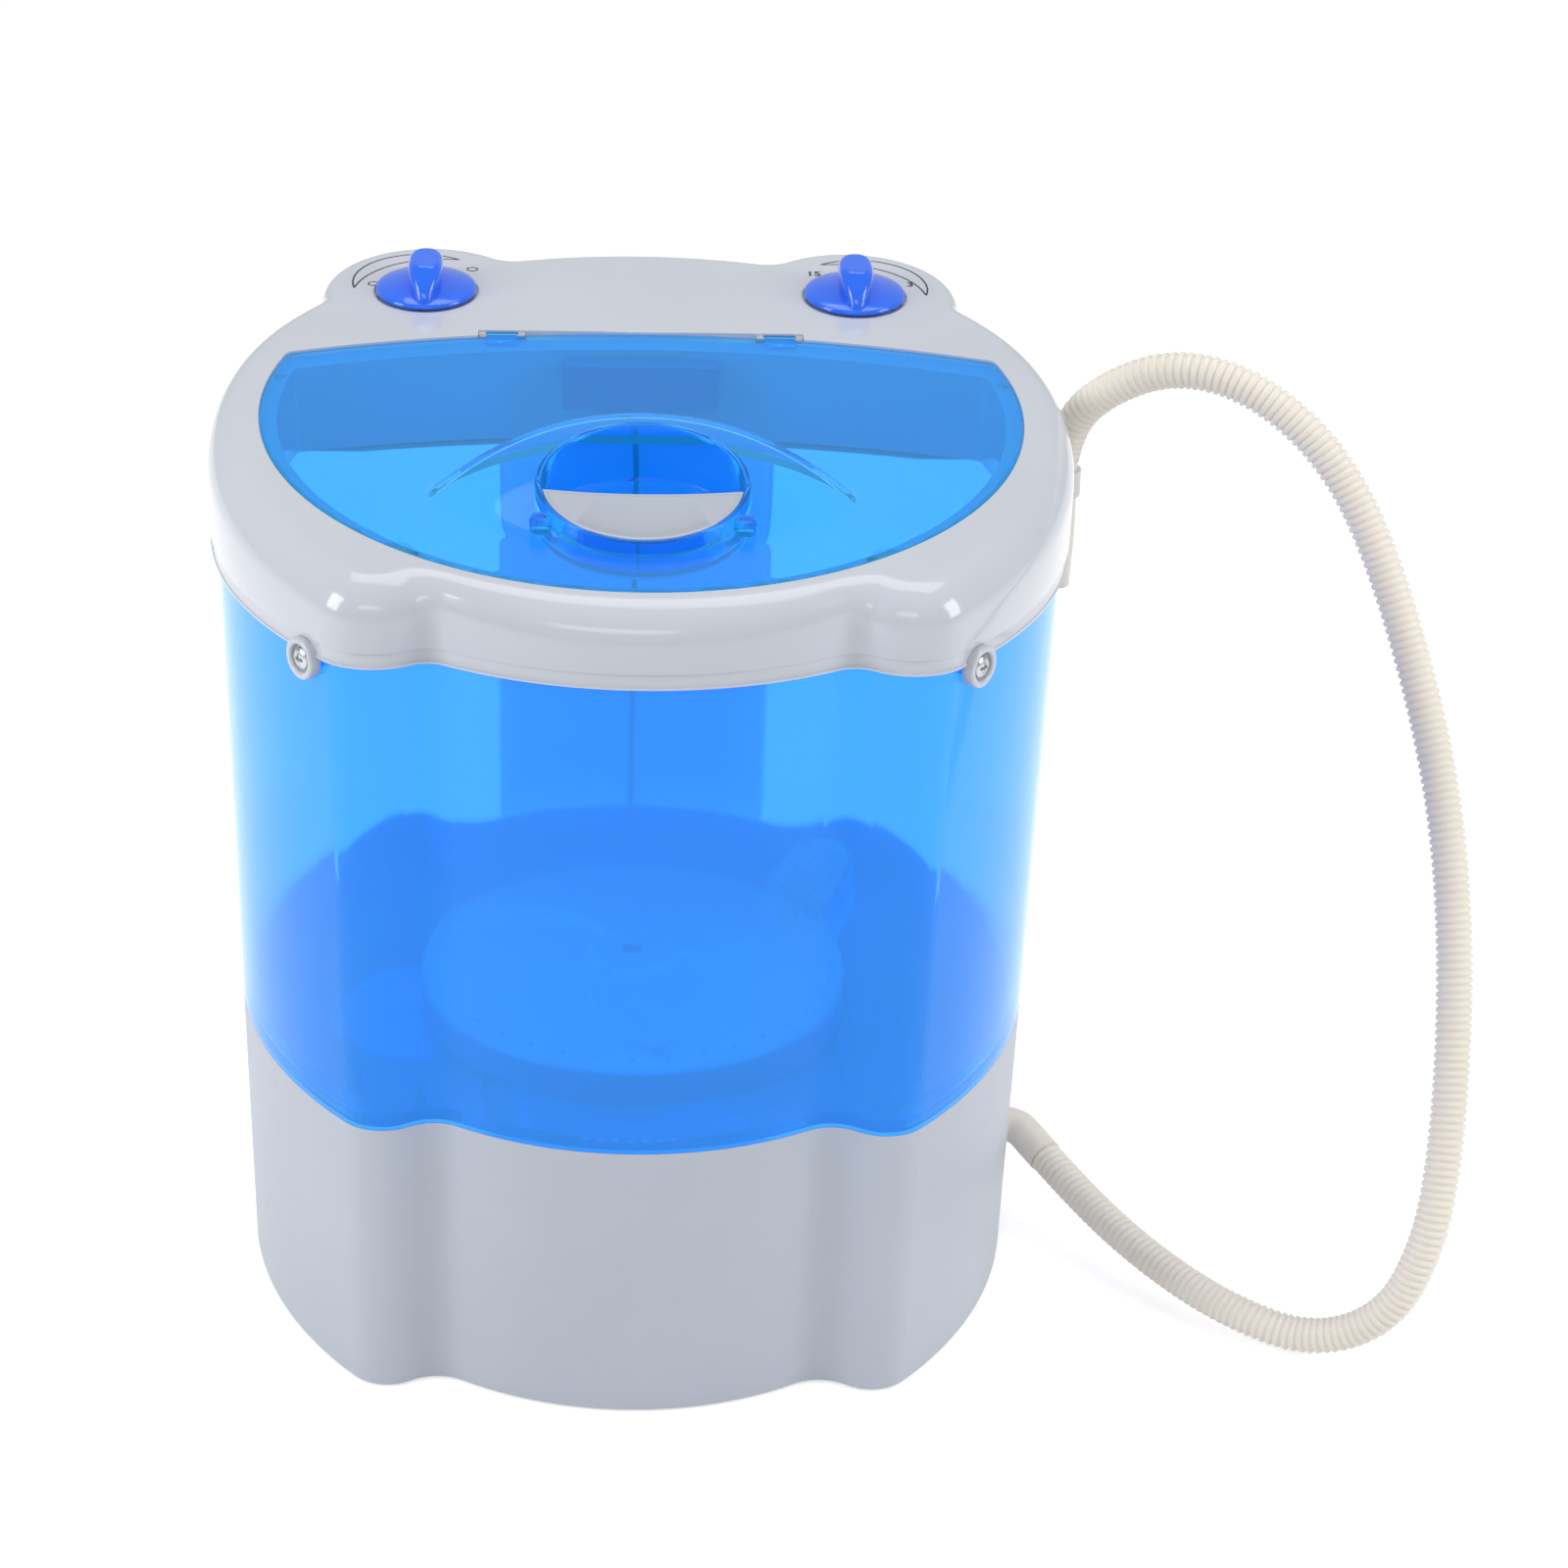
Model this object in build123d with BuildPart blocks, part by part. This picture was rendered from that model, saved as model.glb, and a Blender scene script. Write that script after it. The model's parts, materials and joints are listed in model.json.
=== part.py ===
from build123d import *
from math import cos, radians, sin, sqrt, tan
import os

# Mini washing machine: a translucent tub on a motor base, under a collar with a lid and two knobs.
# Millimetres. The origin is on the floor under the middle, +X to the right, +Y to the back, +Z up.

# Body outline in plan: two long side arcs, two end arcs, four lobes and four notches between them
half_width = 180.0
front_reach = 170.0
rear_reach = 164.0
side_radius = 217.0
end_radius = 146.0
lobe_radius = 22.0
notch_radius = 18.0
lobe_angle = 42.4
lobe_shrink = 10.0
foot_inset = 2.8
draft_share = 0.0135

# Heights of the stacked mouldings
base_low = 1.5
seam_height = 134.0
floor_height = 115.0
bowl_radius = 34.0
collar_low = 350.0
tub_top = 355.8
band_top = 356.5
skirt_low = 362.0
panel_height = 401.2
panel_tilt = 6.3

# Walls, clearances and cuts
wall = 2.6
skin = 2.2
panel_wall = 3.0
running_gap = 0.05
gap = 0.3
overrun = 6.0

# Collar outline in plan, grown from the body outline, with two round ears over the knobs
collar_grow = 5.0
band_grow = 4.75
collar_round = 16.0
ear_radius = 44.0
ear_x_share = 0.5389
ear_y_share = 0.7
ear_x = ear_x_share * half_width
ear_y = ear_y_share * half_width
waist_radius = 20.0
back_reach = 164.5
back_radius = 220.0
back_notch_radius = 18.0
flange_width = 8.0
frame_wall = 2.1
underplate_inset = 3.0
underplate_thick = 2.2
underplate_y = 56.0

# Lid, lying in the tilted panel: a disc cut by a wide arc at the back
lid_radius = 163.0
lid_centre_y = 6.0
lid_back_y = 78.0
lid_back_radius = 499.0
lid_corner = 4.0
lid_wall = 2.8
lid_sink = 0.4
lid_edge_gap = 0.6
hinge_edge_gap = 2.7
ledge_width = 7.0
back_ledge_width = 11.0
ledge_thick = 4.4
skirt_wall = 2.4

# Dome of the lid and the finger cup in it
dome_radius = 258.0
dome_height = 14.0
dome_y = -45.0
arch_radius = 102.5
arch_y = -128.0
cup_radius = 43.9
cup_wall = 2.4
cup_y = -82.0
cup_depth = 14.0
rim_front_height = 4.7
rim_tilt = 6.1
chord_y = -88.0
chord_sag = 3.0
grip_wall = 2.4
shelf_width = 2.5
shelf_thick = 1.6
lug_x = 36.0
lug_y = -106.0
lug_size = 9.0
lug_high = 6.4

# Lid hinge
hinge_x = 62.0
knuckle_radius = 2.4
knuckle_length = 14.0
hinge_pin_radius = 1.2
hinge_drop = 2.2
hinge_ear = 3.0
hinge_base_thick = 1.2
bumper_radius = 2.6
bumper_sink = 1.0
bumper_angle = 35.0
bumper_side_angle = 100.0

# Knobs and the controls under them
knob_shift_x = 1.0
knob_shift_y = -3.3
knob_x = ear_x + knob_shift_x
knob_y = ear_y + knob_shift_y
knob_radius = 23.0
knob_thick = 6.0
knob_round = 2.4
grip_length = 40.0
grip_width = 13.5
grip_height = 16.5
stem_radius = 3.0
stem_hole = 5.5
stem_socket_depth = 9.0
stem_depth = 8.0
valve_radius = 19.0
valve_height = 26.0
valve_bore = 9.0
timer_width = 46.0
timer_depth = 40.0
timer_height = 27.0
control_screw_reach = 14.0

# Water way: spigot at the back, valve, pipe and chute
spigot_x = -58.0
spigot_z = 401.7
spigot_end = 175.0
spigot_free_length = 9.0
spigot_inner_y = 128.0
spigot_radius = 9.0
spigot_inner_radius = 8.4
spigot_bore = 6.5
branch_radius = 7.0
branch_bore = 4.6
chute_width = 69.0
chute_depth = 12.0
chute_back_y = 65.8
chute_low = 381.0
chute_high = 401.0
chute_wall = 1.8
chute_corner = 3.0
nipple_radius = 6.0
nipple_bore = 4.4
nipple_x = -20.0
nipple_z = 391.0
pipe_wall = 1.5
pipe_y = 108.0
pipe_start_x = -70.0
pipe_end_y = 78.0
pipe_overlap = 10.0

# Screws
screw_head_radius = 4.6
screw_head_height = 2.6
screw_radius = 2.0
screw_hole_gap = 0.2
screw_length = 9.0
hub_screw_length = 14.0
cross_width = 1.2
boss_radius = 8.8
boss_proud = 1.4
boss_drop = 2.5
boss_height = collar_low - boss_drop
boss_angle = 39.4
inner_boss_radius = 5.5
inner_boss_depth = 7.0

# Pulsator and its shaft
pulsator_radius = 98.5
pulsator_low = 116.4
pulsator_shoulder = 129.5
pulsator_rim_high = 133.5
pulsator_hub_high = 140.0
pulsator_wall = 2.4
hub_radius = 13.0
hub_low = 121.6
cone_radius = 22.0
cone_high = 137.0
vane_inner = 20.0
vane_middle_x = 54.0
vane_middle_y = 14.0
vane_end_x = 68.0
vane_end_y = 52.0
vane_width = 8.0
vane_high = 141.0
vane_low = 132.0
vane_count = 3
vane_round = 2.0
hole_count = 36
hole_radius = 1.4
hole_ring = 90.0
shaft_radius = 6.0
shaft_low = 13.0
shaft_high = 133.0

# Bearing housing under the tub floor
tube_radius = 15.0
tube_low = 44.0
tube_bore = 8.0
nose_high = 119.0
bush_radius = 10.0
bush_length = 18.0
seal_length = 4.4
seal_gap = 0.06
bearing_flange_radius = 34.0
bearing_flange_thick = 4.0
gasket_thick = 1.5
bearing_screw_ring = 25.0
bearing_boss_radius = 5.0
bearing_boss_height = 6.0

# Belt drive
motor_x = -97.0
driven_pitch = 55.0
motor_pitch = 13.0
belt_thick = 4.0
belt_height = 6.0
belt_low = 24.0
pulley_lip = 3.0
pulley_lip_thick = 2.6
pulley_hub_radius = 14.0
motor_hub_radius = 9.0
nut_size = 11.0
nut_thick = 5.6

# Motor and its bracket
motor_radius = 43.0
motor_low = 40.0
motor_high = 104.0
motor_wall = 2.2
motor_shaft_radius = 4.0
motor_shaft_high = 107.0
rotor_radius = 24.0
rotor_length = 32.0
stator_length = 36.0
stator_gap = 0.5
motor_vent_low = 12.0
motor_vent_width = 5.0
motor_vent_count = 8
bracket_length = 96.0
bracket_width = 98.0
bracket_thick = 3.0
bracket_top = 38.4
leg_width = 12.0
leg_inset = 6.0
foot_length = 14.0
foot_screw_reach = 8.0
bolt_reach = 37.0
bolt_radius = 2.5
grommet_radius = 6.0
motor_lug_radius = 7.0
motor_lug_thick = 4.0

# Bottom plate, feet and the electrics on it
plate_low = 4.0
plate_thick = 2.6
foot_x = 96.0
foot_y = 96.0
foot_radius = 11.0
foot_plug_radius = 3.2
foot_plug_proud = 1.5
vent_count = 7
vent_pitch = 9.0
vent_length = 46.0
vent_width = 4.0
vent_y = -60.0
plate_boss_radius = 6.0
plate_boss_high = 24.0
plate_screw_head = 3.6
capacitor_radius = 16.0
capacitor_length = 58.0
capacitor_x = 34.0
capacitor_y = -104.0
clip_width = 12.0
clip_thick = 1.2
clip_foot = 11.0
terminal_x = 0.0
terminal_y = 112.0
terminal_length = 42.0
terminal_width = 16.0
terminal_height = 13.0
terminal_pitch = 7.0
terminal_count = 5

# Drain: a tongue-shaped well in the tub floor, its cover, a pipe and the outlet in the side
drain_x = 87.0
drain_y = 101.5
drain_z = 125.0
drain_turn = 60.8
drain_slope = 17.0
drain_length = 52.0
drain_width = 30.0
drain_rim = 3.0
drain_cover_thick = 1.8
drain_depth = 26.0
drain_hole_radius = 1.3
drain_hole_pitch = 5.0
drain_hole_columns = 8
drain_hole_rows = 4
drain_drop = 29.0
drain_overlap = 12.0
drain_turns = [(106.0, 80.0, 44.0), (122.0, 12.0, 39.2)]
drain_nipple_radius = 8.0
drain_nipple_bore = 6.0
drain_nipple_length = 16.0
drain_pipe_wall = 1.8
outlet_y = 12.0
outlet_z = 39.2
outlet_low_x = 144.0
outlet_flange_x = 164.6
outlet_high_x = 180.0
outlet_radius = 6.2
outlet_bore = 4.6
outlet_flange_radius = 13.0
outlet_flange_thick = 2.0
scoop_radius = 90.0
scoop_depth = 8.0
scoop_y = -3.0
scoop_z = 45.0

# Drain hose: a corrugated hose whose far end is clipped beside the collar
hose_radius = 8.0
hose_bore = 6.4
cuff_radius = 8.4
bend_share = 0.45
nozzle_radius = 7.4
nozzle_bore = 5.2
nozzle_tip_radius = 6.2
nozzle_tip = 24.0
nozzle_end = (190.6, 54.3, 302.0)
hook_height = 12.0
hook_wall = 1.6
hook_low = 346.0
hook_pad_width = 15.0
cuff_start_x = 173.3
cuff_points = [(cuff_start_x, outlet_y, outlet_z), (186.0, outlet_y, outlet_z), (197.9, -6.8, 33.3)]
hose_points = [
    (197.9, -6.8, 33.3),
    (216.5, -36.2, 24.1),
    (243.5, -73.0, 16.5),
    (274.0, -103.5, 11.4),
    (309.0, -121.5, 8.6),
    (338.5, -130.0, 29.0),
    (352.0, -126.0, 66.0),
    (357.0, -113.5, 103.0),
    (359.0, -97.0, 144.0),
    (358.0, -79.5, 190.0),
    (353.0, -61.0, 237.0),
    (342.5, -42.5, 283.0),
    (326.5, -22.0, 331.0),
    (309.0, -7.5, 369.0),
    (288.0, 4.5, 395.0),
    (260.0, 16.5, 412.5),
    (231.0, 28.5, 415.5),
    (205.0, 40.5, 401.0),
    (190.3, 51.0, 380.5),
    (188.8, 53.9, 362.0),
]

# Wiring duct on the back of the body, its harness and the mains gland
duct_half_width = 66.0
duct_reach = 175.0
duct_low = 42.0
duct_high = 376.0
duct_wall = 2.0
duct_neck_half_width = 24.0
duct_screw_x = 58.0
duct_screw_z = 60.0
neck_screw_x = 16.0
neck_screw_z = 368.0
duct_screw_head = 3.0
duct_screw_head_height = 1.8
duct_screw_length = 15.0
duct_post_radius = 5.0
harness_radius = 1.3
harness_points = [
    (0.0, 120.0, 14.0),
    (0.0, 135.0, 14.0),
    (0.0, 148.0, 34.0),
    (0.0, 150.0, 66.0),
    (0.0, 171.4, 90.0),
    (0.0, 171.4, 362.0),
    (0.0, 158.0, 376.0),
    (4.0, 150.0, 388.0),
    (50.0, 136.0, 393.0),
    (62.0, 130.0, 394.0),
    (78.0, 130.0, 394.0),
]
harness_hole_radius = 4.5
harness_hole_z = 78.0
collar_hole_z = 365.4
collar_hole_radius = 5.9
gland_radius = 8.0
gland_height = 9.0
gland_z = 22.0
gland_x = 30.0
gland_neck = 5.0
gland_gap = 0.3
gland_bore = 3.0

# Rates worked out from the sizes above
tilt_share = tan(radians(panel_tilt))
plate_high = plate_low + plate_thick
bowl_high = floor_height + bowl_radius
floor_high = floor_height
floor_low = floor_height - skin
belt_high = belt_low + belt_height
bowl_steps = 6


def growth(height):
    """How far the drafted outer wall stands outside its nominal outline at a height."""
    return draft_share * height - foot_inset


def meet(first, first_radius, second, second_radius, side):
    """The point at these distances from two centres, on the left (1) or right (-1) of the line between."""
    step = (second - first).normalized()
    span = (second - first).length
    along = (first_radius**2 - second_radius**2 + span**2) / (2 * span)
    across = sqrt(first_radius**2 - along**2)
    return first + step * along + Vector(-step.Y, step.X) * (across * side)


def arc_about(centre, radius, first, last):
    """An arc about a centre, from the direction of one point to the direction of another."""
    start = (first - centre).normalized()
    end = (last - centre).normalized()
    middle = (start + end).normalized()
    ThreePointArc(centre + start * radius, centre + middle * radius, centre + end * radius)


def lobed_end(grow, lobe_grow, reach, turn):
    """A quarter of the body outline, from the middle of the front (turn -1) or back (1) to the right side."""
    lobe = lobe_radius + lobe_grow
    notch = notch_radius - grow
    side_centre = Vector(half_width - side_radius, 0)
    end_centre = Vector(0, turn * (reach - end_radius))
    lobe_arm = side_radius + grow - lobe
    lobe_centre = side_centre + Vector(lobe_arm, 0).rotate(Axis.Z, turn * lobe_angle)
    notch_centre = meet(end_centre, end_radius + grow + notch, lobe_centre, lobe + notch, turn)
    arc_about(end_centre, end_radius + grow, Vector(0, turn * reach), notch_centre)
    arc_about(notch_centre, notch, end_centre, lobe_centre)
    arc_about(lobe_centre, lobe, notch_centre, lobe_centre * 2 - side_centre)
    arc_about(side_centre, side_radius + grow, lobe_centre, Vector(half_width, 0))


def body_outline(height, grow, lobe_grow=None):
    """The body's outline at a height. The lobes can keep a size of their own, as in the rounded bowl."""
    lobe_grow = grow if lobe_grow is None else lobe_grow
    with BuildSketch(Plane.XY.offset(height)) as outline:
        with BuildLine():
            lobed_end(grow, lobe_grow, front_reach, -1)
            lobed_end(grow, lobe_grow, rear_reach, 1)
            mirror(about=Plane.YZ)
        make_face()
    return outline.sketch


def collar_outline(height, grow):
    """The collar's outline: lobed at the front like the body, and round with two ears at the back."""
    origin = Vector(0, 0)
    ear = Vector(ear_x, ear_y)
    back_centre = Vector(0, back_reach - back_radius)
    waist = meet(origin, half_width + waist_radius, ear, ear_radius + waist_radius, -1)
    back_notch = meet(back_centre, back_radius + back_notch_radius, ear, ear_radius + back_notch_radius, 1)
    with BuildSketch(Plane.XY.offset(height)) as outline:
        with BuildLine():
            lobed_end(grow, grow, front_reach, -1)
            arc_about(origin, half_width + grow, Vector(half_width, 0), waist)
            arc_about(waist, waist_radius - grow, origin, ear)
            arc_about(ear, ear_radius + grow, waist, back_notch)
            arc_about(back_notch, back_notch_radius - grow, ear, back_centre)
            arc_about(back_centre, back_radius + grow, back_notch, Vector(0, back_reach))
            mirror(about=Plane.YZ)
        make_face()
    return outline.sketch


def moved(plane, x, y, up=0.0):
    """A plane like the given one, shifted within itself and raised."""
    return Plane(origin=plane.from_local_coords((x, y, up)), x_dir=plane.x_dir, z_dir=plane.z_dir)


def facing(point, direction):
    """A plane at a point, facing a direction."""
    return Plane(origin=point, z_dir=direction)


def post(plane, radius, height, bore=0.0, mode=Mode.ADD):
    """Adds to the open part a round post that stands on a plane, with a bore if one is given."""
    with BuildSketch(plane) as profile:
        Circle(radius)
        if bore:
            Circle(bore, mode=Mode.SUBTRACT)
    extrude(profile.sketch, amount=height, mode=mode)


def block(plane, width, depth, height, mode=Mode.ADD):
    """Adds to the open part a rectangular block that stands on a plane, centred on it."""
    with BuildSketch(plane) as profile:
        Rectangle(width, depth)
    extrude(profile.sketch, amount=height, mode=mode)


def screw(plane, length, head_radius=screw_head_radius, head_height=screw_head_height, radius=screw_radius):
    """Adds to the open part a screw with a cross recess, its head on the plane and its shank below."""
    post(plane, head_radius, head_height)
    post(plane, radius, -length)
    with BuildSketch(plane.offset(head_height)) as cross:
        Rectangle(head_radius, cross_width)
        Rectangle(cross_width, head_radius)
    extrude(cross.sketch, amount=-head_height / 2, mode=Mode.SUBTRACT)


def side_plane(hand, turn, height, grow):
    """A plane on the side wall, facing out, at an angle about the centre of the side arc."""
    outward = Vector(cos(radians(turn)), sin(radians(turn)))
    point = Vector(half_width - side_radius, 0) + outward * (side_radius + grow)
    return facing((hand * point.X, point.Y, height), (hand * outward.X, outward.Y, 0))


def bend_radii(points):
    """The largest radius that fits each corner of a route, from its two runs and its turn."""
    radii = []
    for before, corner, after in zip(points, points[1:], points[2:]):
        arrive = Vector(corner) - Vector(before)
        leave = Vector(after) - Vector(corner)
        half_turn = radians(arrive.get_angle(leave)) / 2
        radii.append(bend_share * min(arrive.length, leave.length) / tan(half_turn))
    return radii


def tube_along(points, radius, bore=0.0, mode=Mode.ADD):
    """Adds to the open part a tube along straight runs joined by tangent arcs, and returns its path."""
    with BuildLine() as path:
        FilletPolyline(*points, radius=bend_radii(points))
    start = Plane(origin=path.line @ 0, z_dir=path.line % 0)
    with BuildSketch(start) as section:
        Circle(radius)
        if bore:
            Circle(bore, mode=Mode.SUBTRACT)
    sweep(section.sketch, path=path.line, mode=mode)
    return path.line


# The tilted panel that the lid lies in. Its own x is across and its own y runs up the slope to the back.
panel = Plane(
    origin=(0, 0, panel_height),
    x_dir=(1, 0, 0),
    z_dir=(0, -sin(radians(panel_tilt)), cos(radians(panel_tilt))),
)


def lid_outline(plane, grow, back_grow):
    """The lid's outline on a plane, with its round edge and its back edge grown separately."""
    middle = Vector(0, lid_centre_y)
    back_centre = Vector(0, lid_back_y - lid_back_radius)
    reach = lid_radius + grow
    back_reach_now = lid_back_radius + back_grow
    corner = meet(middle, reach - lid_corner, back_centre, back_reach_now - lid_corner, -1)
    with BuildSketch(plane) as outline:
        with BuildLine():
            arc_about(middle, reach, middle - Vector(0, reach), corner)
            arc_about(corner, lid_corner, corner * 2 - middle, corner * 2 - back_centre)
            arc_about(back_centre, back_reach_now, corner, middle)
            mirror(about=Plane.YZ)
        make_face()
    return outline.sketch


def round_slot(plane, length, width, height, mode=Mode.ADD):
    """Adds to the open part a block with round ends that stands on a plane, centred on it."""
    with BuildSketch(plane) as profile:
        SlotOverall(length, width)
    extrude(profile.sketch, amount=height, mode=mode)


def ball(plane, x, y, height, radius, mode=Mode.ADD):
    """Adds to the open part a ball, its centre placed in a plane and its poles to the sides."""
    with Locations(plane.from_local_coords((x, y, height))):
        Sphere(radius, rotation=(0, 90, 0), mode=mode)


def belt_loop(height, grow):
    """The outline of a belt round both pulleys, grown from its middle line."""
    with BuildSketch(Plane.XY.offset(height)) as loop:
        Circle(driven_pitch + grow)
        with Locations((motor_x, 0)):
            Circle(motor_pitch + grow)
        make_hull()
    return loop.sketch


def collar_form(low, grow, drop, rounding):
    """The collar's outer form or its hollow: an upright wall under the tilted panel, rounded over."""
    with BuildPart() as form:
        extrude(collar_outline(low, grow), amount=2 * (panel_height - low))
        split(bisect_by=panel.offset(-drop), keep=Keep.BOTTOM)
        fillet(form.faces().sort_by(Axis.Z)[-1].edges(), radius=rounding)
    return form.part


def save(piece, name):
    """Labels a finished piece and writes it as a node of its own."""
    piece.label = name
    export_step(piece, f"parts/{name}.step")


os.makedirs("parts", exist_ok=True)

# Planes and places that several pieces share
drain_tan = tan(radians(drain_slope))
drain_ahead = Vector(cos(radians(drain_turn)), sin(radians(drain_turn)))
drain_plane = Plane(
    origin=(drain_x, drain_y, drain_z),
    x_dir=(drain_ahead.X, drain_ahead.Y, drain_tan),
    z_dir=(-drain_ahead.X * drain_tan, -drain_ahead.Y * drain_tan, 1),
)
corners = [(hand, end) for hand in (-1, 1) for end in (-1, 1)]
collar_screw_planes = [
    side_plane(hand, end * boss_angle, boss_height, band_grow + boss_proud) for hand, end in corners
]
collar_bosses = [
    side_plane(hand, end * boss_angle, boss_height, growth(boss_height)) for hand, end in corners
]
plate_screw_arm = side_radius - foot_inset - wall / 2 - plate_boss_radius
plate_screw_x = half_width - side_radius + plate_screw_arm * cos(radians(lobe_angle))
plate_screw_y = plate_screw_arm * sin(radians(lobe_angle))
bearing_screw_step = bearing_screw_ring / sqrt(2)
wall_x = half_width - side_radius + sqrt((side_radius + growth(scoop_z)) ** 2 - scoop_y**2)
scoop_centre = (wall_x + scoop_radius - scoop_depth, scoop_y, scoop_z)
duct_centre = Vector(0, rear_reach - end_radius)
duct_radius = duct_reach - duct_centre.Y


def back_plane(radius, x, height):
    """A plane on a round back wall of a radius, facing out."""
    outward = Vector(x, sqrt(radius**2 - x**2))
    point = duct_centre + outward
    return facing((point.X, point.Y, height), (outward.X, outward.Y, 0))


duct_screw_planes = [
    back_plane(duct_radius, hand * x, height).offset(-duct_screw_head_height)
    for hand in (-1, 1)
    for x, height in ((duct_screw_x, duct_screw_z), (neck_screw_x, neck_screw_z))
]
gland_plane = back_plane(end_radius + growth(gland_z) + gland_gap, gland_x, gland_z)
hinge_line = moved(panel, 0, lid_back_y, -hinge_drop)
knob_planes = [moved(panel, hand * knob_x, knob_y) for hand in (-1, 1)]
control_planes = [moved(plane, 0, 0, -panel_wall - gap) for plane in knob_planes]
control_screw_planes = [
    moved(plane, hand * control_screw_reach, 0, -panel_wall / 2) for plane in knob_planes for hand in (-1, 1)
]
ledge_low = -(lid_sink + lid_wall + gap + ledge_thick)
ledge_high = ledge_low + ledge_thick
bumper_reach = lid_radius - ledge_width / 2
bumper_places = [
    (bumper_reach * sin(radians(turn)), lid_centre_y - bumper_reach * cos(radians(turn)))
    for turn in (-bumper_side_angle, -bumper_angle, bumper_angle, bumper_side_angle)
]

# Base housing: the opaque skirt round the motor, with a scooped recess round the drain outlet
with BuildPart() as base_outside:
    rim_outline = body_outline(seam_height, growth(seam_height))
    loft([body_outline(base_low, growth(base_low)), rim_outline], ruled=True)
with BuildPart() as scoop_back:
    with Locations(scoop_centre):
        Sphere(scoop_radius + wall)
    add(base_outside.part, mode=Mode.INTERSECT)
with BuildPart() as base_housing:
    add(base_outside.part)
    inner_low = body_outline(base_low - overrun, growth(base_low - overrun) - wall)
    inner_high = body_outline(seam_height + overrun, growth(seam_height + overrun) - wall)
    loft([inner_low, inner_high], ruled=True, mode=Mode.SUBTRACT)
    add(scoop_back.part)
    with Locations(scoop_centre):
        Sphere(scoop_radius, mode=Mode.SUBTRACT)
    for hand, end in corners:
        boss = moved(Plane.XY, hand * plate_screw_x, end * plate_screw_y, plate_high + gap)
        post(boss, plate_boss_radius, plate_boss_high - plate_high)
        post(boss.offset(-overrun), screw_radius, overrun + plate_boss_high / 2, mode=Mode.SUBTRACT)
    outlet_plane = Plane(origin=(outlet_low_x, outlet_y, outlet_z), z_dir=(1, 0, 0))
    post(outlet_plane, outlet_radius + gap, half_width - outlet_low_x, mode=Mode.SUBTRACT)
    harness_hole_y = rear_reach - 3 * overrun
    post(facing((0, harness_hole_y, harness_hole_z), (0, 1, 0)), harness_hole_radius, 5 * overrun,
         mode=Mode.SUBTRACT)
    post(gland_plane.offset(overrun), gland_neck + gap, -3 * overrun, mode=Mode.SUBTRACT)
    for plane in duct_screw_planes:
        if plane.origin.Z < seam_height:
            post(plane, screw_radius, -duct_screw_length, mode=Mode.SUBTRACT)
save(base_housing.part, "base_housing")

# Tub: a drafted, lobed wall on a rounded bowl, with a drain well and screw bosses
def bowl_section(step, radius, top_grow):
    """One section of the rounded bowl, part of the way round its quarter circle. The lobes shrink less."""
    turn = radians(90 * step / bowl_steps)
    grow = top_grow - radius * (1 - cos(turn))
    return body_outline(bowl_high - radius * sin(turn), grow, max(grow, -lobe_shrink))


bowl_order = range(bowl_steps, -1, -1)
well_length = drain_length + 2 * (gap + skin)
well_width = drain_width + 2 * (gap + skin)
with BuildPart() as hollow:
    cavity = [bowl_section(step, bowl_radius, growth(bowl_high) - wall) for step in bowl_order]
    cavity.append(body_outline(tub_top + overrun, growth(tub_top + overrun) - wall))
    loft(cavity, ruled=True)
    round_slot(drain_plane, well_length, well_width, -drain_depth, mode=Mode.SUBTRACT)
with BuildPart() as tub:
    seam_outline = body_outline(seam_height + gap, growth(seam_height))
    loft([seam_outline, body_outline(tub_top, growth(tub_top))], ruled=True)
    back_grow = growth(bowl_high) - wall + skin
    bowl_back = [bowl_section(step, bowl_radius + skin, back_grow) for step in bowl_order]
    loft(bowl_back, ruled=True)
    round_slot(drain_plane, well_length, well_width, -drain_depth)
    add(hollow.part, mode=Mode.SUBTRACT)
    round_slot(drain_plane, drain_length + 2 * gap, drain_width + 2 * gap, drain_depth, mode=Mode.SUBTRACT)
    round_slot(drain_plane, drain_length - 2 * drain_rim, drain_width - 2 * drain_rim, skin - drain_depth,
               mode=Mode.SUBTRACT)
    well_bottom = drain_plane.offset(-drain_depth)
    post(well_bottom, drain_nipple_radius, -drain_nipple_length)
    post(well_bottom.offset(skin + overrun), drain_nipple_bore, -(drain_nipple_length + skin + 2 * overrun),
         mode=Mode.SUBTRACT)
    post(Plane.XY.offset(floor_low - overrun), tube_radius + gap, 2 * overrun + skin, mode=Mode.SUBTRACT)
    for hand, end in corners:
        boss = moved(Plane.XY, hand * bearing_screw_step, end * bearing_screw_step, floor_high - skin / 2)
        post(boss, bearing_boss_radius, bearing_boss_height)
        post(boss.offset(-overrun), screw_radius, overrun + bearing_boss_height - skin, mode=Mode.SUBTRACT)
    for plane in collar_bosses:
        post(plane.offset(-wall / 2), inner_boss_radius, -inner_boss_depth)
        post(plane.offset(overrun), screw_radius, -(overrun + inner_boss_depth), mode=Mode.SUBTRACT)
save(tub.part, "tub")

# Soft ring between the tub's rim and the collar
with BuildPart() as tub_gasket:
    gasket_high = band_top - tub_top
    extrude(body_outline(tub_top, growth(tub_top) - gap), amount=gasket_high)
    extrude(body_outline(tub_top, growth(tub_top) + gap - wall), amount=gasket_high, mode=Mode.SUBTRACT)
save(tub_gasket.part, "tub_gasket")

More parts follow.
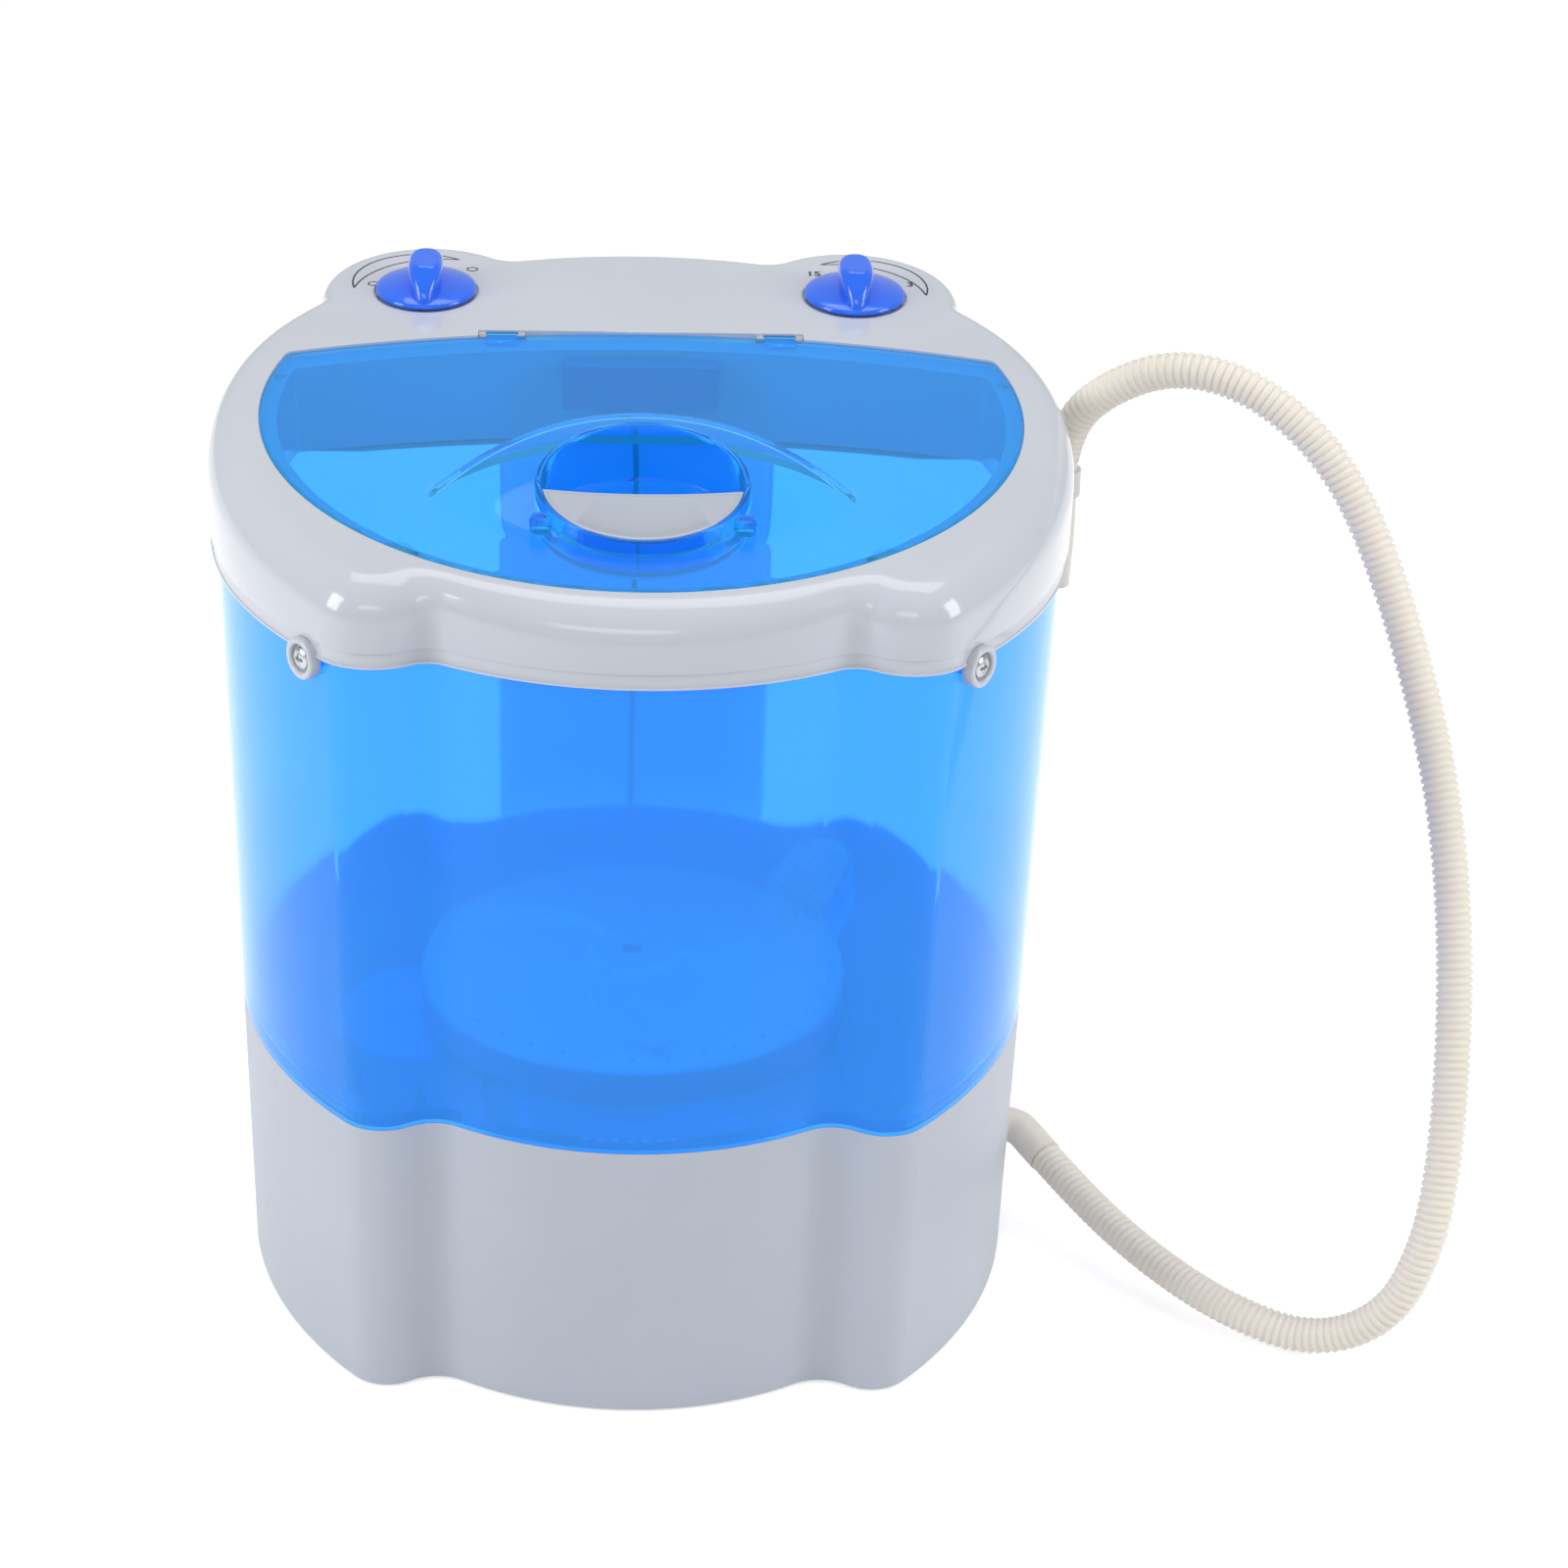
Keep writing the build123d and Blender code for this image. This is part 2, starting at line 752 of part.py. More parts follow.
# Collar: a band and flange over the tub's rim, a hollow panel, a recess and skirt for the lid, and bosses
hinge_pocket_low = -(hinge_drop + knuckle_radius + hinge_base_thick + 2 * gap)
hinge_pocket_width = knuckle_length + 2 * (hinge_ear + 2 * gap)
collar_outside = collar_form(band_top, collar_grow, 0, collar_round)
with BuildPart() as lid_frame:
    frame_plane = panel.offset(-panel_wall / 2)
    frame_height = ledge_low + panel_wall / 2
    frame_outline = lid_outline(frame_plane, lid_edge_gap + frame_wall, hinge_edge_gap + panel_wall)
    extrude(frame_outline, amount=frame_height)
    skirt_plane = panel.offset(ledge_high)
    skirt_outline = lid_outline(skirt_plane, skirt_wall - ledge_width, skirt_wall - back_ledge_width)
    extrude(skirt_outline, amount=-panel_height)
    for hand in (-1, 1):
        block(moved(frame_plane, hand * hinge_x, lid_back_y), hinge_pocket_width + 2 * skirt_wall,
              2 * (knuckle_radius + skirt_wall), frame_height)
    split(bisect_by=Plane.XY.offset(skirt_low), keep=Keep.TOP)
    add(collar_outside, mode=Mode.INTERSECT)
with BuildPart() as top_collar:
    add(collar_outside)
    extrude(body_outline(collar_low, band_grow), amount=band_top + wall - collar_low)
    add(collar_form(band_top + wall, collar_grow - panel_wall, panel_wall, collar_round - panel_wall),
        mode=Mode.SUBTRACT)
    extrude(body_outline(collar_low - overrun, growth(tub_top) + gap), amount=band_top - collar_low + overrun,
            mode=Mode.SUBTRACT)
    extrude(body_outline(band_top - overrun, -flange_width), amount=2 * overrun, mode=Mode.SUBTRACT)
    add(lid_frame.part)
    extrude(lid_outline(skirt_plane, lid_edge_gap, hinge_edge_gap), amount=panel_height, mode=Mode.SUBTRACT)
    extrude(lid_outline(panel.offset(overrun), -ledge_width, -back_ledge_width), amount=-panel_height,
            mode=Mode.SUBTRACT)
    for hand in (-1, 1):
        block(moved(panel, hand * hinge_x, lid_back_y, hinge_pocket_low), hinge_pocket_width,
              2 * (knuckle_radius + gap), overrun - hinge_pocket_low, mode=Mode.SUBTRACT)
    block(moved(panel, 0, lid_back_y, ledge_high), 2 * hinge_x, 2 * (knuckle_radius + gap),
          overrun - ledge_high, mode=Mode.SUBTRACT)
    for x, y in bumper_places:
        post(moved(panel, x, y, ledge_high), bumper_radius, -bumper_sink, mode=Mode.SUBTRACT)
    for plane in knob_planes:
        post(plane.offset(overrun), stem_hole, -(overrun + 2 * panel_wall), mode=Mode.SUBTRACT)
    for plane in control_screw_planes:
        post(plane, screw_head_radius + gap, panel_wall, mode=Mode.SUBTRACT)
        post(plane, screw_radius + screw_hole_gap, -panel_wall, mode=Mode.SUBTRACT)
    for plane, inner in zip(collar_screw_planes, collar_bosses):
        post(inner.offset(gap), boss_radius, band_grow + boss_proud - growth(boss_height) - gap)
        post(plane.offset(overrun), screw_radius + screw_hole_gap, -3 * overrun, mode=Mode.SUBTRACT)
    back_wall_y = back_reach - 2 * overrun
    post(facing((spigot_x, back_wall_y, spigot_z), (0, 1, 0)), spigot_inner_radius + gap, 4 * overrun,
         mode=Mode.SUBTRACT)
    post(facing((nipple_x, lid_back_y - 2 * back_ledge_width, nipple_z), (0, 1, 0)), nipple_radius + gap,
         2 * back_ledge_width, mode=Mode.SUBTRACT)
    post(facing((0, back_wall_y, collar_hole_z), (0, 1, 0)), collar_hole_radius, 4 * overrun,
         mode=Mode.SUBTRACT)
    for plane in duct_screw_planes:
        if plane.origin.Z > seam_height:
            post(plane, screw_radius, -duct_screw_length, mode=Mode.SUBTRACT)
save(top_collar.part, "top_collar")

# Plate that closes the collar's rear chamber from below
with BuildPart() as collar_underplate:
    extrude(body_outline(band_top + wall + gap, -underplate_inset), amount=underplate_thick)
    extrude(collar_outline(band_top, collar_grow - panel_wall - gap), amount=2 * overrun, mode=Mode.INTERSECT)
    with BuildSketch(Plane.XY.offset(band_top)) as front:
        with Locations((0, underplate_y - half_width)):
            Rectangle(3 * half_width, 2 * half_width)
    extrude(front.sketch, amount=2 * overrun, mode=Mode.SUBTRACT)
    extrude(lid_outline(panel, -ledge_width, -back_ledge_width), amount=-panel_height, mode=Mode.SUBTRACT)
save(collar_underplate.part, "collar_underplate")

# Four screws through the collar's round bosses into the tub
with BuildPart() as collar_screws:
    for plane in collar_screw_planes:
        screw(plane, screw_length)
save(collar_screws.part, "collar_screws")

# Lid: a thin plate with a hollow dome behind the finger cup, and two hinge knuckles
rim_plane = Plane(
    origin=panel.from_local_coords((0, cup_y - cup_radius, rim_front_height)),
    x_dir=(1, 0, 0),
    z_dir=(0, -sin(radians(panel_tilt + rim_tilt)), cos(radians(panel_tilt + rim_tilt))),
)
cup_plane = moved(panel, 0, cup_y)
dome_centre_height = dome_height - dome_radius
lid_under = -lid_sink - lid_wall


def across(plane, x):
    """A plane across a line that runs along a plane's own x, facing +X."""
    return facing(plane.from_local_coords((x, 0, 0)), (1, 0, 0))


def dome_cap(low, inset):
    """The dome's cap in front of the arch, or its hollow, from a height in the panel upward."""
    with BuildPart() as cap:
        post(moved(panel, 0, arch_y, low), arch_radius - inset, 2 * dome_height - low)
        ball(panel, 0, dome_y, dome_centre_height, dome_radius - inset, mode=Mode.INTERSECT)
    return cap.part


with BuildPart() as lid:
    extrude(lid_outline(panel.offset(-lid_sink), 0, 0), amount=-lid_wall)
    add(dome_cap(-lid_sink - lid_wall / 2, 0))
    add(dome_cap(lid_under - overrun, grip_wall), mode=Mode.SUBTRACT)
    post(cup_plane.offset(lid_under - overrun), cup_radius + gap, 3 * dome_height, mode=Mode.SUBTRACT)
    for hand in (-1, 1):
        block(moved(panel, hand * hinge_x, lid_back_y - 2 * knuckle_radius, -lid_sink), knuckle_length,
              4 * knuckle_radius, -lid_wall)
        knuckle = across(hinge_line, hand * hinge_x - knuckle_length / 2)
        post(knuckle, knuckle_radius, knuckle_length)
        post(knuckle.offset(-overrun), hinge_pin_radius + running_gap, knuckle_length + 2 * overrun,
             mode=Mode.SUBTRACT)
save(lid.part, "lid")

# Finger cup set in the lid, with a slanted rim, a shelf for the grip plate and two lugs on the dome
with BuildPart() as cup_lugs:
    for hand in (-1, 1):
        post(moved(panel, hand * lug_x, lug_y), lug_size / 2, lug_high)
    ball(panel, 0, dome_y, dome_centre_height, dome_radius + gap, mode=Mode.SUBTRACT)
with BuildPart() as cup_shelf:
    post(cup_plane.offset(-cup_depth), cup_radius - cup_wall / 2, 3 * cup_depth,
         bore=cup_radius - cup_wall - shelf_width)
    with BuildSketch(cup_plane.offset(-cup_depth)) as front_half:
        with Locations((0, chord_y - cup_y - cup_radius)):
            Rectangle(2 * cup_radius, 2 * cup_radius)
    extrude(front_half.sketch, amount=3 * cup_depth, mode=Mode.INTERSECT)
    split(bisect_by=rim_plane.offset(-grip_wall - 2 * gap), keep=Keep.BOTTOM)
    split(bisect_by=rim_plane.offset(-grip_wall - 2 * gap - shelf_thick), keep=Keep.TOP)
with BuildPart() as lid_handle_cup:
    post(cup_plane.offset(-cup_depth), cup_radius, 3 * cup_depth)
    split(bisect_by=rim_plane, keep=Keep.BOTTOM)
    add(cup_lugs.part)
    post(cup_plane.offset(cup_wall - cup_depth), cup_radius - cup_wall, 3 * cup_depth, mode=Mode.SUBTRACT)
    add(cup_shelf.part)
save(lid_handle_cup.part, "lid_handle_cup")

# Grip plate that covers the front of the cup, with a sagging rear edge
chord_reach = cup_radius - cup_wall - gap
chord_radius = (chord_reach**2 + chord_sag**2) / (2 * chord_sag)
with BuildPart() as lid_handle_plate:
    with BuildSketch(cup_plane.offset(-cup_depth)) as grip_shape:
        Circle(chord_reach)
        with Locations((0, chord_y - chord_sag - cup_y + chord_radius)):
            Circle(chord_radius, mode=Mode.SUBTRACT)
    extrude(grip_shape.sketch, amount=3 * cup_depth)
    split(bisect_by=rim_plane.offset(-gap), keep=Keep.BOTTOM)
    split(bisect_by=rim_plane.offset(-gap - grip_wall), keep=Keep.TOP)
save(lid_handle_plate.part, "lid_handle_plate")

# Brackets, pins and bumpers of the lid, all seated in the collar
with BuildPart() as lid_hinge_brackets:
    for hand in (-1, 1):
        foot = moved(panel, hand * hinge_x, lid_back_y, hinge_pocket_low + gap)
        block(foot, hinge_pocket_width - 2 * gap, 2 * knuckle_radius, hinge_base_thick)
        for end in (-1, 1):
            ear_reach = end * (knuckle_length / 2 + gap + hinge_ear / 2)
            ear_high = -hinge_drop - hinge_pocket_low - gap
            block(moved(foot, ear_reach, 0), hinge_ear, 2 * knuckle_radius, ear_high)
            post(across(hinge_line, hand * hinge_x + ear_reach - hinge_ear / 2), knuckle_radius, hinge_ear)
        post(across(hinge_line, hand * hinge_x - knuckle_length), hinge_pin_radius, 2 * knuckle_length,
             mode=Mode.SUBTRACT)
save(lid_hinge_brackets.part, "lid_hinge_brackets")
with BuildPart() as lid_hinge_pins:
    for hand in (-1, 1):
        pin_reach = hinge_pocket_width / 2 - gap
        post(across(hinge_line, hand * hinge_x - pin_reach), hinge_pin_radius, 2 * pin_reach)
save(lid_hinge_pins.part, "lid_hinge_pins")
with BuildPart() as lid_bumpers:
    for x, y in bumper_places:
        post(moved(panel, x, y, ledge_high - bumper_sink), bumper_radius, bumper_sink)
save(lid_bumpers.part, "lid_bumpers")

# Knobs: a round disc with a grip bar across it, over the panel
def knob(plane):
    """One knob on a plane, with a blind socket below for its stem."""
    with BuildPart() as disc:
        post(plane.offset(gap), knob_radius, knob_thick)
        fillet(disc.faces().sort_by(Axis.Z)[-1].edges(), radius=knob_round)
        with BuildSketch(plane.offset(gap + knob_thick / 2)) as bar:
            RectangleRounded(grip_width, grip_length, grip_width / 3)
        extrude(bar.sketch, amount=grip_height - knob_thick / 2)
        fillet(disc.faces().sort_by(Axis.Z)[-1].edges(), radius=knob_round)
        post(plane.offset(gap), stem_radius, stem_socket_depth, mode=Mode.SUBTRACT)
    return disc.part


def stem(plane):
    """A stem from the knob's socket down into the control below the panel."""
    with BuildPart() as rod:
        post(plane.offset(stem_socket_depth), stem_radius, -(stem_socket_depth + stem_depth))
    return rod.part


save(knob(knob_planes[0]), "water_inlet_knob")
save(knob(knob_planes[1]), "wash_timer_knob")
save(stem(knob_planes[0]), "inlet_valve_stem")
save(stem(knob_planes[1]), "timer_shaft")

# Inlet valve under the left knob, with a branch hole from the spigot and a nipple to the pipe
valve_plane = control_planes[0]
valve_x = valve_plane.origin.X
valve_middle_y = valve_plane.offset(-valve_height / 2).origin.Y
nipple_line = facing((valve_x, pipe_y, nipple_z), (1, 0, 0))
branch_line = facing((valve_x, spigot_inner_y, spigot_z), (1, 0, 0))
with BuildPart() as inlet_valve_body:
    post(valve_plane, valve_radius, -valve_height)
    post(nipple_line, nipple_radius, pipe_start_x - valve_x)
    post(valve_plane.offset(-stem_depth), valve_bore, 2 * wall + stem_depth - valve_height,
         mode=Mode.SUBTRACT)
    post(nipple_line, nipple_bore, valve_height + valve_radius, mode=Mode.SUBTRACT)
    post(facing(nipple_line.origin, (0, 1, 0)), nipple_bore, valve_middle_y - pipe_y, mode=Mode.SUBTRACT)
    post(branch_line, branch_bore, valve_height + valve_radius, mode=Mode.SUBTRACT)
    post(valve_plane.offset(overrun), stem_radius + running_gap, -(2 * overrun + stem_depth),
         mode=Mode.SUBTRACT)
    for plane in control_screw_planes[:2]:
        post(plane, screw_radius, -screw_length, mode=Mode.SUBTRACT)
save(inlet_valve_body.part, "inlet_valve_body")

# Water inlet spigot through the collar's back, with a side branch to the valve
with BuildPart() as spigot_branch:
    post(branch_line, branch_radius, spigot_x - valve_x)
    post(valve_plane.offset(overrun), valve_radius + gap, -(2 * overrun + valve_height), mode=Mode.SUBTRACT)
with BuildPart() as water_inlet_spigot:
    closed_y = spigot_inner_y - spigot_radius
    post(facing((spigot_x, closed_y, spigot_z), (0, 1, 0)), spigot_inner_radius, spigot_end - closed_y)
    post(facing((spigot_x, spigot_end, spigot_z), (0, -1, 0)), spigot_radius, spigot_free_length)
    add(spigot_branch.part)
    inside_y = spigot_inner_y - spigot_bore
    post(facing((spigot_x, inside_y, spigot_z), (0, 1, 0)), spigot_bore, spigot_end, mode=Mode.SUBTRACT)
    post(facing((spigot_x, spigot_inner_y, spigot_z), (-1, 0, 0)), branch_bore, valve_height + valve_radius,
         mode=Mode.SUBTRACT)
save(water_inlet_spigot.part, "water_inlet_spigot")

# Pipe from the valve to the chute
with BuildPart() as inlet_pipe:
    pipe_points = [(pipe_start_x - pipe_overlap, pipe_y, nipple_z), (nipple_x, pipe_y, nipple_z),
                   (nipple_x, pipe_end_y, nipple_z)]
    tube_along(pipe_points, nipple_radius + running_gap + pipe_wall, bore=nipple_radius + running_gap)
save(inlet_pipe.part, "inlet_pipe")

# Water chute inside the skirt: a shallow box, open below
with BuildPart() as water_chute:
    chute_middle_y = chute_back_y - chute_depth / 2
    with BuildSketch(Plane.XY.offset(chute_low)) as chute_shape:
        with Locations((0, chute_middle_y)):
            RectangleRounded(chute_width, chute_depth, chute_corner)
    extrude(chute_shape.sketch, amount=chute_high - chute_low)
    post(facing((nipple_x, chute_middle_y, nipple_z), (0, 1, 0)), nipple_radius,
         pipe_end_y + pipe_overlap - chute_middle_y)
    block(moved(Plane.XY, 0, chute_middle_y, chute_low - overrun), chute_width - 2 * chute_wall,
          chute_depth - 2 * chute_wall, chute_high - chute_wall - chute_low + overrun, mode=Mode.SUBTRACT)
    post(facing((nipple_x, chute_middle_y, nipple_z), (0, 1, 0)), nipple_bore, pipe_end_y, mode=Mode.SUBTRACT)
save(water_chute.part, "water_chute")

# Wash timer under the right knob, with an entry for the wires
with BuildPart() as timer_body:
    timer_plane = control_planes[1]
    block(timer_plane, timer_width, timer_depth, -timer_height)
    post(timer_plane.offset(overrun), stem_radius + running_gap, -(overrun + stem_depth), mode=Mode.SUBTRACT)
    for plane in control_screw_planes[2:]:
        post(plane, screw_radius, -screw_length, mode=Mode.SUBTRACT)
    post(facing(harness_points[-1], (-1, 0, 0)), harness_radius + running_gap, timer_width,
         mode=Mode.SUBTRACT)
save(timer_body.part, "timer_body")

# Four flush screws that hold the controls under the panel
with BuildPart() as control_screws:
    for plane in control_screw_planes:
        screw(plane, screw_length - screw_radius, head_height=panel_wall / 2 - gap)
save(control_screws.part, "control_screws")

# Pulsator: a rimmed disc with a low cone, three curved vanes, a hub and a ring of small holes
crown_radius = pulsator_radius - pulsator_rim_high + pulsator_shoulder
hub_seat = pulsator_hub_high - screw_head_height - gap
with BuildPart() as pulsator:
    with BuildSketch(Plane.XZ) as half_section:
        with BuildLine():
            Polyline(
                (0, hub_low), (hub_radius, hub_low), (hub_radius, cone_high - pulsator_wall),
                (cone_radius, cone_high - pulsator_wall), (crown_radius, pulsator_rim_high - pulsator_wall),
                (pulsator_radius - pulsator_wall, pulsator_shoulder),
                (pulsator_radius - pulsator_wall, pulsator_low), (pulsator_radius, pulsator_low),
                (pulsator_radius, pulsator_shoulder),
            )
            RadiusArc((pulsator_radius, pulsator_shoulder), (crown_radius, pulsator_rim_high),
                      -(pulsator_rim_high - pulsator_shoulder))
            Polyline((crown_radius, pulsator_rim_high), (cone_radius, cone_high),
                     (cone_radius - pulsator_hub_high + cone_high, pulsator_hub_high), (0, pulsator_hub_high),
                     (0, hub_low))
        make_face()
    revolve(half_section.sketch, axis=Axis.Z)
    with BuildSketch(Plane.XY.offset(vane_low)) as vanes:
        with BuildLine(mode=Mode.PRIVATE) as vane_line:
            ThreePointArc((vane_inner, 0), (vane_middle_x, vane_middle_y), (vane_end_x, vane_end_y))
        with PolarLocations(0, vane_count):
            SlotArc(vane_line.line.edge(), vane_width)
    extrude(vanes.sketch, amount=vane_high - vane_low)
    fillet(pulsator.edges().group_by(Axis.Z)[-1], radius=vane_round)
    with BuildSketch(Plane.XY.offset(vane_high)) as holes:
        with PolarLocations(hole_ring, hole_count):
            Circle(hole_radius)
    extrude(holes.sketch, amount=vane_low - vane_high, mode=Mode.SUBTRACT)
    post(Plane.XY.offset(hub_seat), screw_head_radius + gap, overrun, mode=Mode.SUBTRACT)
    post(Plane.XY.offset(hub_low), screw_radius + screw_hole_gap, hub_seat, mode=Mode.SUBTRACT)
    post(Plane.XY.offset(hub_low - overrun), shaft_radius + running_gap, shaft_high + gap - hub_low + overrun,
         mode=Mode.SUBTRACT)
save(pulsator.part, "pulsator")
with BuildPart() as pulsator_screw:
    screw(Plane.XY.offset(hub_seat), hub_screw_length)
save(pulsator_screw.part, "pulsator_screw")
with BuildPart() as drive_shaft:
    post(Plane.XY.offset(shaft_low), shaft_radius, shaft_high - shaft_low)
    post(Plane.XY.offset(shaft_high), screw_radius, hub_seat - shaft_high - hub_screw_length - gap,
         mode=Mode.SUBTRACT)
save(drive_shaft.part, "drive_shaft")

# Bearing housing bolted under the tub floor, with a seal at its nose and a bush at each end
flange_top = floor_low - gasket_thick
with BuildPart() as bearing_housing:
    post(Plane.XY.offset(tube_low), tube_radius, nose_high - tube_low)
    post(Plane.XY.offset(flange_top), bearing_flange_radius, -bearing_flange_thick)
    post(Plane.XY.offset(tube_low - overrun), tube_bore, nose_high, mode=Mode.SUBTRACT)
    post(Plane.XY.offset(nose_high), bush_radius, -(seal_length + bush_length), mode=Mode.SUBTRACT)
    post(Plane.XY.offset(tube_low), bush_radius, bush_length, mode=Mode.SUBTRACT)
    for hand, end in corners:
        place = moved(Plane.XY, hand * bearing_screw_step, end * bearing_screw_step, flange_top)
        post(place, screw_radius + screw_hole_gap, -2 * bearing_flange_thick, mode=Mode.SUBTRACT)
save(bearing_housing.part, "bearing_housing")
with BuildPart() as bearing_gasket:
    post(Plane.XY.offset(flange_top), bearing_flange_radius, gasket_thick, bore=tube_radius + gap)
    for hand, end in corners:
        place = moved(Plane.XY, hand * bearing_screw_step, end * bearing_screw_step, flange_top)
        post(place, screw_radius + screw_hole_gap, gasket_thick, mode=Mode.SUBTRACT)
save(bearing_gasket.part, "bearing_gasket")
for name, low, length, bore in (
    ("shaft_seal", nose_high - seal_length, seal_length, shaft_radius + seal_gap),
    ("upper_bush", nose_high - seal_length - bush_length, bush_length, shaft_radius + running_gap),
    ("lower_bush", tube_low, bush_length, shaft_radius + running_gap),
):
    with BuildPart() as ring:
        post(Plane.XY.offset(low), bush_radius, length, bore=bore)
    save(ring.part, name)
with BuildPart() as bearing_screws:
    for hand, end in corners:
        place = (hand * bearing_screw_step, end * bearing_screw_step, flange_top - bearing_flange_thick)
        screw(facing(place, (0, 0, -1)), screw_length)
save(bearing_screws.part, "bearing_screws")

# Belt drive: a large pulley on the shaft, a small one on the motor and a belt round both
def pulley(middle, pitch, hub, hub_high, bore):
    """A grooved pulley with a lip on each side of the belt, and a hub upward."""
    floor = pitch - belt_thick / 2 - gap
    lip = pitch + pulley_lip
    with BuildPart() as wheel:
        place = moved(Plane.XY, middle, 0, pulley_low)
        post(place, lip, pulley_lip_thick)
        post(place, floor, pulley_height)
        post(place.offset(pulley_height), lip, -pulley_lip_thick)
        post(place, hub, hub_high - pulley_low)
        post(place.offset(-overrun), bore, 2 * overrun + hub_high, mode=Mode.SUBTRACT)
    return wheel.part


pulley_low = belt_low - gap - pulley_lip_thick
pulley_height = belt_height + 2 * (gap + pulley_lip_thick)
save(pulley(0, driven_pitch, pulley_hub_radius, tube_low - gap, shaft_radius + running_gap), "driven_pulley")
save(pulley(motor_x, motor_pitch, motor_hub_radius, bracket_top - bracket_thick - gap,
            motor_shaft_radius + running_gap), "motor_pulley")
with BuildPart() as drive_belt:
    extrude(belt_loop(belt_low, belt_thick / 2), amount=belt_height)
    extrude(belt_loop(belt_low, -belt_thick / 2), amount=belt_height, mode=Mode.SUBTRACT)
save(drive_belt.part, "drive_belt")
with BuildPart() as pulley_nut:
    with BuildSketch(Plane.XY.offset(pulley_low - gap)) as hexagon:
        RegularPolygon(nut_size, 6)
        Circle(shaft_radius + running_gap, mode=Mode.SUBTRACT)
    extrude(hexagon.sketch, amount=-nut_thick)
save(pulley_nut.part, "pulley_nut")

# Motor: shaft, rotor, stator and a vented can with a square flange
motor_base = moved(Plane.XY, motor_x, 0, motor_low)
motor_middle = (motor_low + motor_high) / 2
with BuildPart() as motor_shaft:
    post(moved(Plane.XY, motor_x, 0, pulley_low), motor_shaft_radius, motor_shaft_high - pulley_low)
save(motor_shaft.part, "motor_shaft")
with BuildPart() as motor_rotor:
    post(moved(Plane.XY, motor_x, 0, motor_middle - rotor_length / 2), rotor_radius, rotor_length,
         bore=motor_shaft_radius + running_gap)
save(motor_rotor.part, "motor_rotor")
with BuildPart() as motor_stator:
    stator_plane = moved(Plane.XY, motor_x, 0, motor_middle - stator_length / 2)
    post(stator_plane, motor_radius - motor_wall - stator_gap, stator_length, bore=rotor_radius + stator_gap)
save(motor_stator.part, "motor_stator")
bolt_places = [moved(Plane.XY, motor_x + hand * bolt_reach, end * bolt_reach) for hand, end in corners]
with BuildPart() as motor_housing:
    post(motor_base, motor_radius, motor_high - motor_low)
    with BuildSketch(motor_base) as flange:
        flange_side = 2 * (bolt_reach + motor_lug_radius)
        RectangleRounded(flange_side, flange_side, motor_lug_radius)
    extrude(flange.sketch, amount=motor_lug_thick)
    post(motor_base.offset(motor_wall), motor_radius - motor_wall, motor_high - motor_low - 2 * motor_wall,
         mode=Mode.SUBTRACT)
    post(motor_base.offset(-overrun), motor_shaft_radius + running_gap, motor_high, mode=Mode.SUBTRACT)
    with BuildSketch(motor_base.offset(motor_vent_low)) as slots:
        with PolarLocations(motor_radius, motor_vent_count):
            Rectangle(3 * motor_wall, motor_vent_width)
    extrude(slots.sketch, amount=motor_high - motor_low - 2 * motor_vent_low, mode=Mode.SUBTRACT)
    for place in bolt_places:
        post(place.offset(motor_low - overrun), bolt_radius + screw_hole_gap, 2 * overrun + motor_lug_thick,
             mode=Mode.SUBTRACT)
save(motor_housing.part, "motor_housing")

# Bracket that carries the motor over the bottom plate, with its bolts and soft washers
leg_reach_x = bracket_length / 2 - leg_inset
leg_reach_y = bracket_width / 2 - bracket_thick / 2
with BuildPart() as motor_bracket:
    block(moved(Plane.XY, motor_x, 0, bracket_top), bracket_length, bracket_width, -bracket_thick)
    for hand, end in corners:
        leg = moved(Plane.XY, motor_x + hand * leg_reach_x, end * leg_reach_y, plate_high)
        block(leg, leg_width, bracket_thick, bracket_top - plate_high)
        block(moved(leg, 0, end * foot_length / 2), leg_width, foot_length + bracket_thick, bracket_thick)
        post(moved(leg, 0, end * foot_screw_reach, -overrun), screw_radius + screw_hole_gap, 2 * overrun,
             mode=Mode.SUBTRACT)
    post(moved(Plane.XY, motor_x, 0, motor_low), motor_hub_radius + wall, -2 * overrun, mode=Mode.SUBTRACT)
    for place in bolt_places:
        post(place.offset(bracket_top), bolt_radius + screw_hole_gap, -2 * bracket_thick, mode=Mode.SUBTRACT)
save(motor_bracket.part, "motor_bracket")
foot_screw_y = leg_reach_y + foot_screw_reach
foot_screws = [
    moved(Plane.XY, motor_x + hand * leg_reach_x, end * foot_screw_y, plate_high + bracket_thick)
    for hand, end in corners
]
with BuildPart() as bracket_screws:
    for place in foot_screws:
        screw(place, bracket_thick + plate_thick, head_radius=plate_screw_head)
save(bracket_screws.part, "bracket_screws")
with BuildPart() as motor_grommets:
    for place in bolt_places:
        post(place.offset(bracket_top), grommet_radius, motor_low - bracket_top,
             bore=bolt_radius + screw_hole_gap)
save(motor_grommets.part, "motor_grommets")
with BuildPart() as motor_bolts:
    bolt_head_low = motor_low + motor_lug_thick
    bolt_length = bolt_head_low - bracket_top + 2 * bracket_thick
    for place in bolt_places:
        screw(place.offset(bolt_head_low), bolt_length, radius=bolt_radius)
save(motor_bolts.part, "motor_bolts")

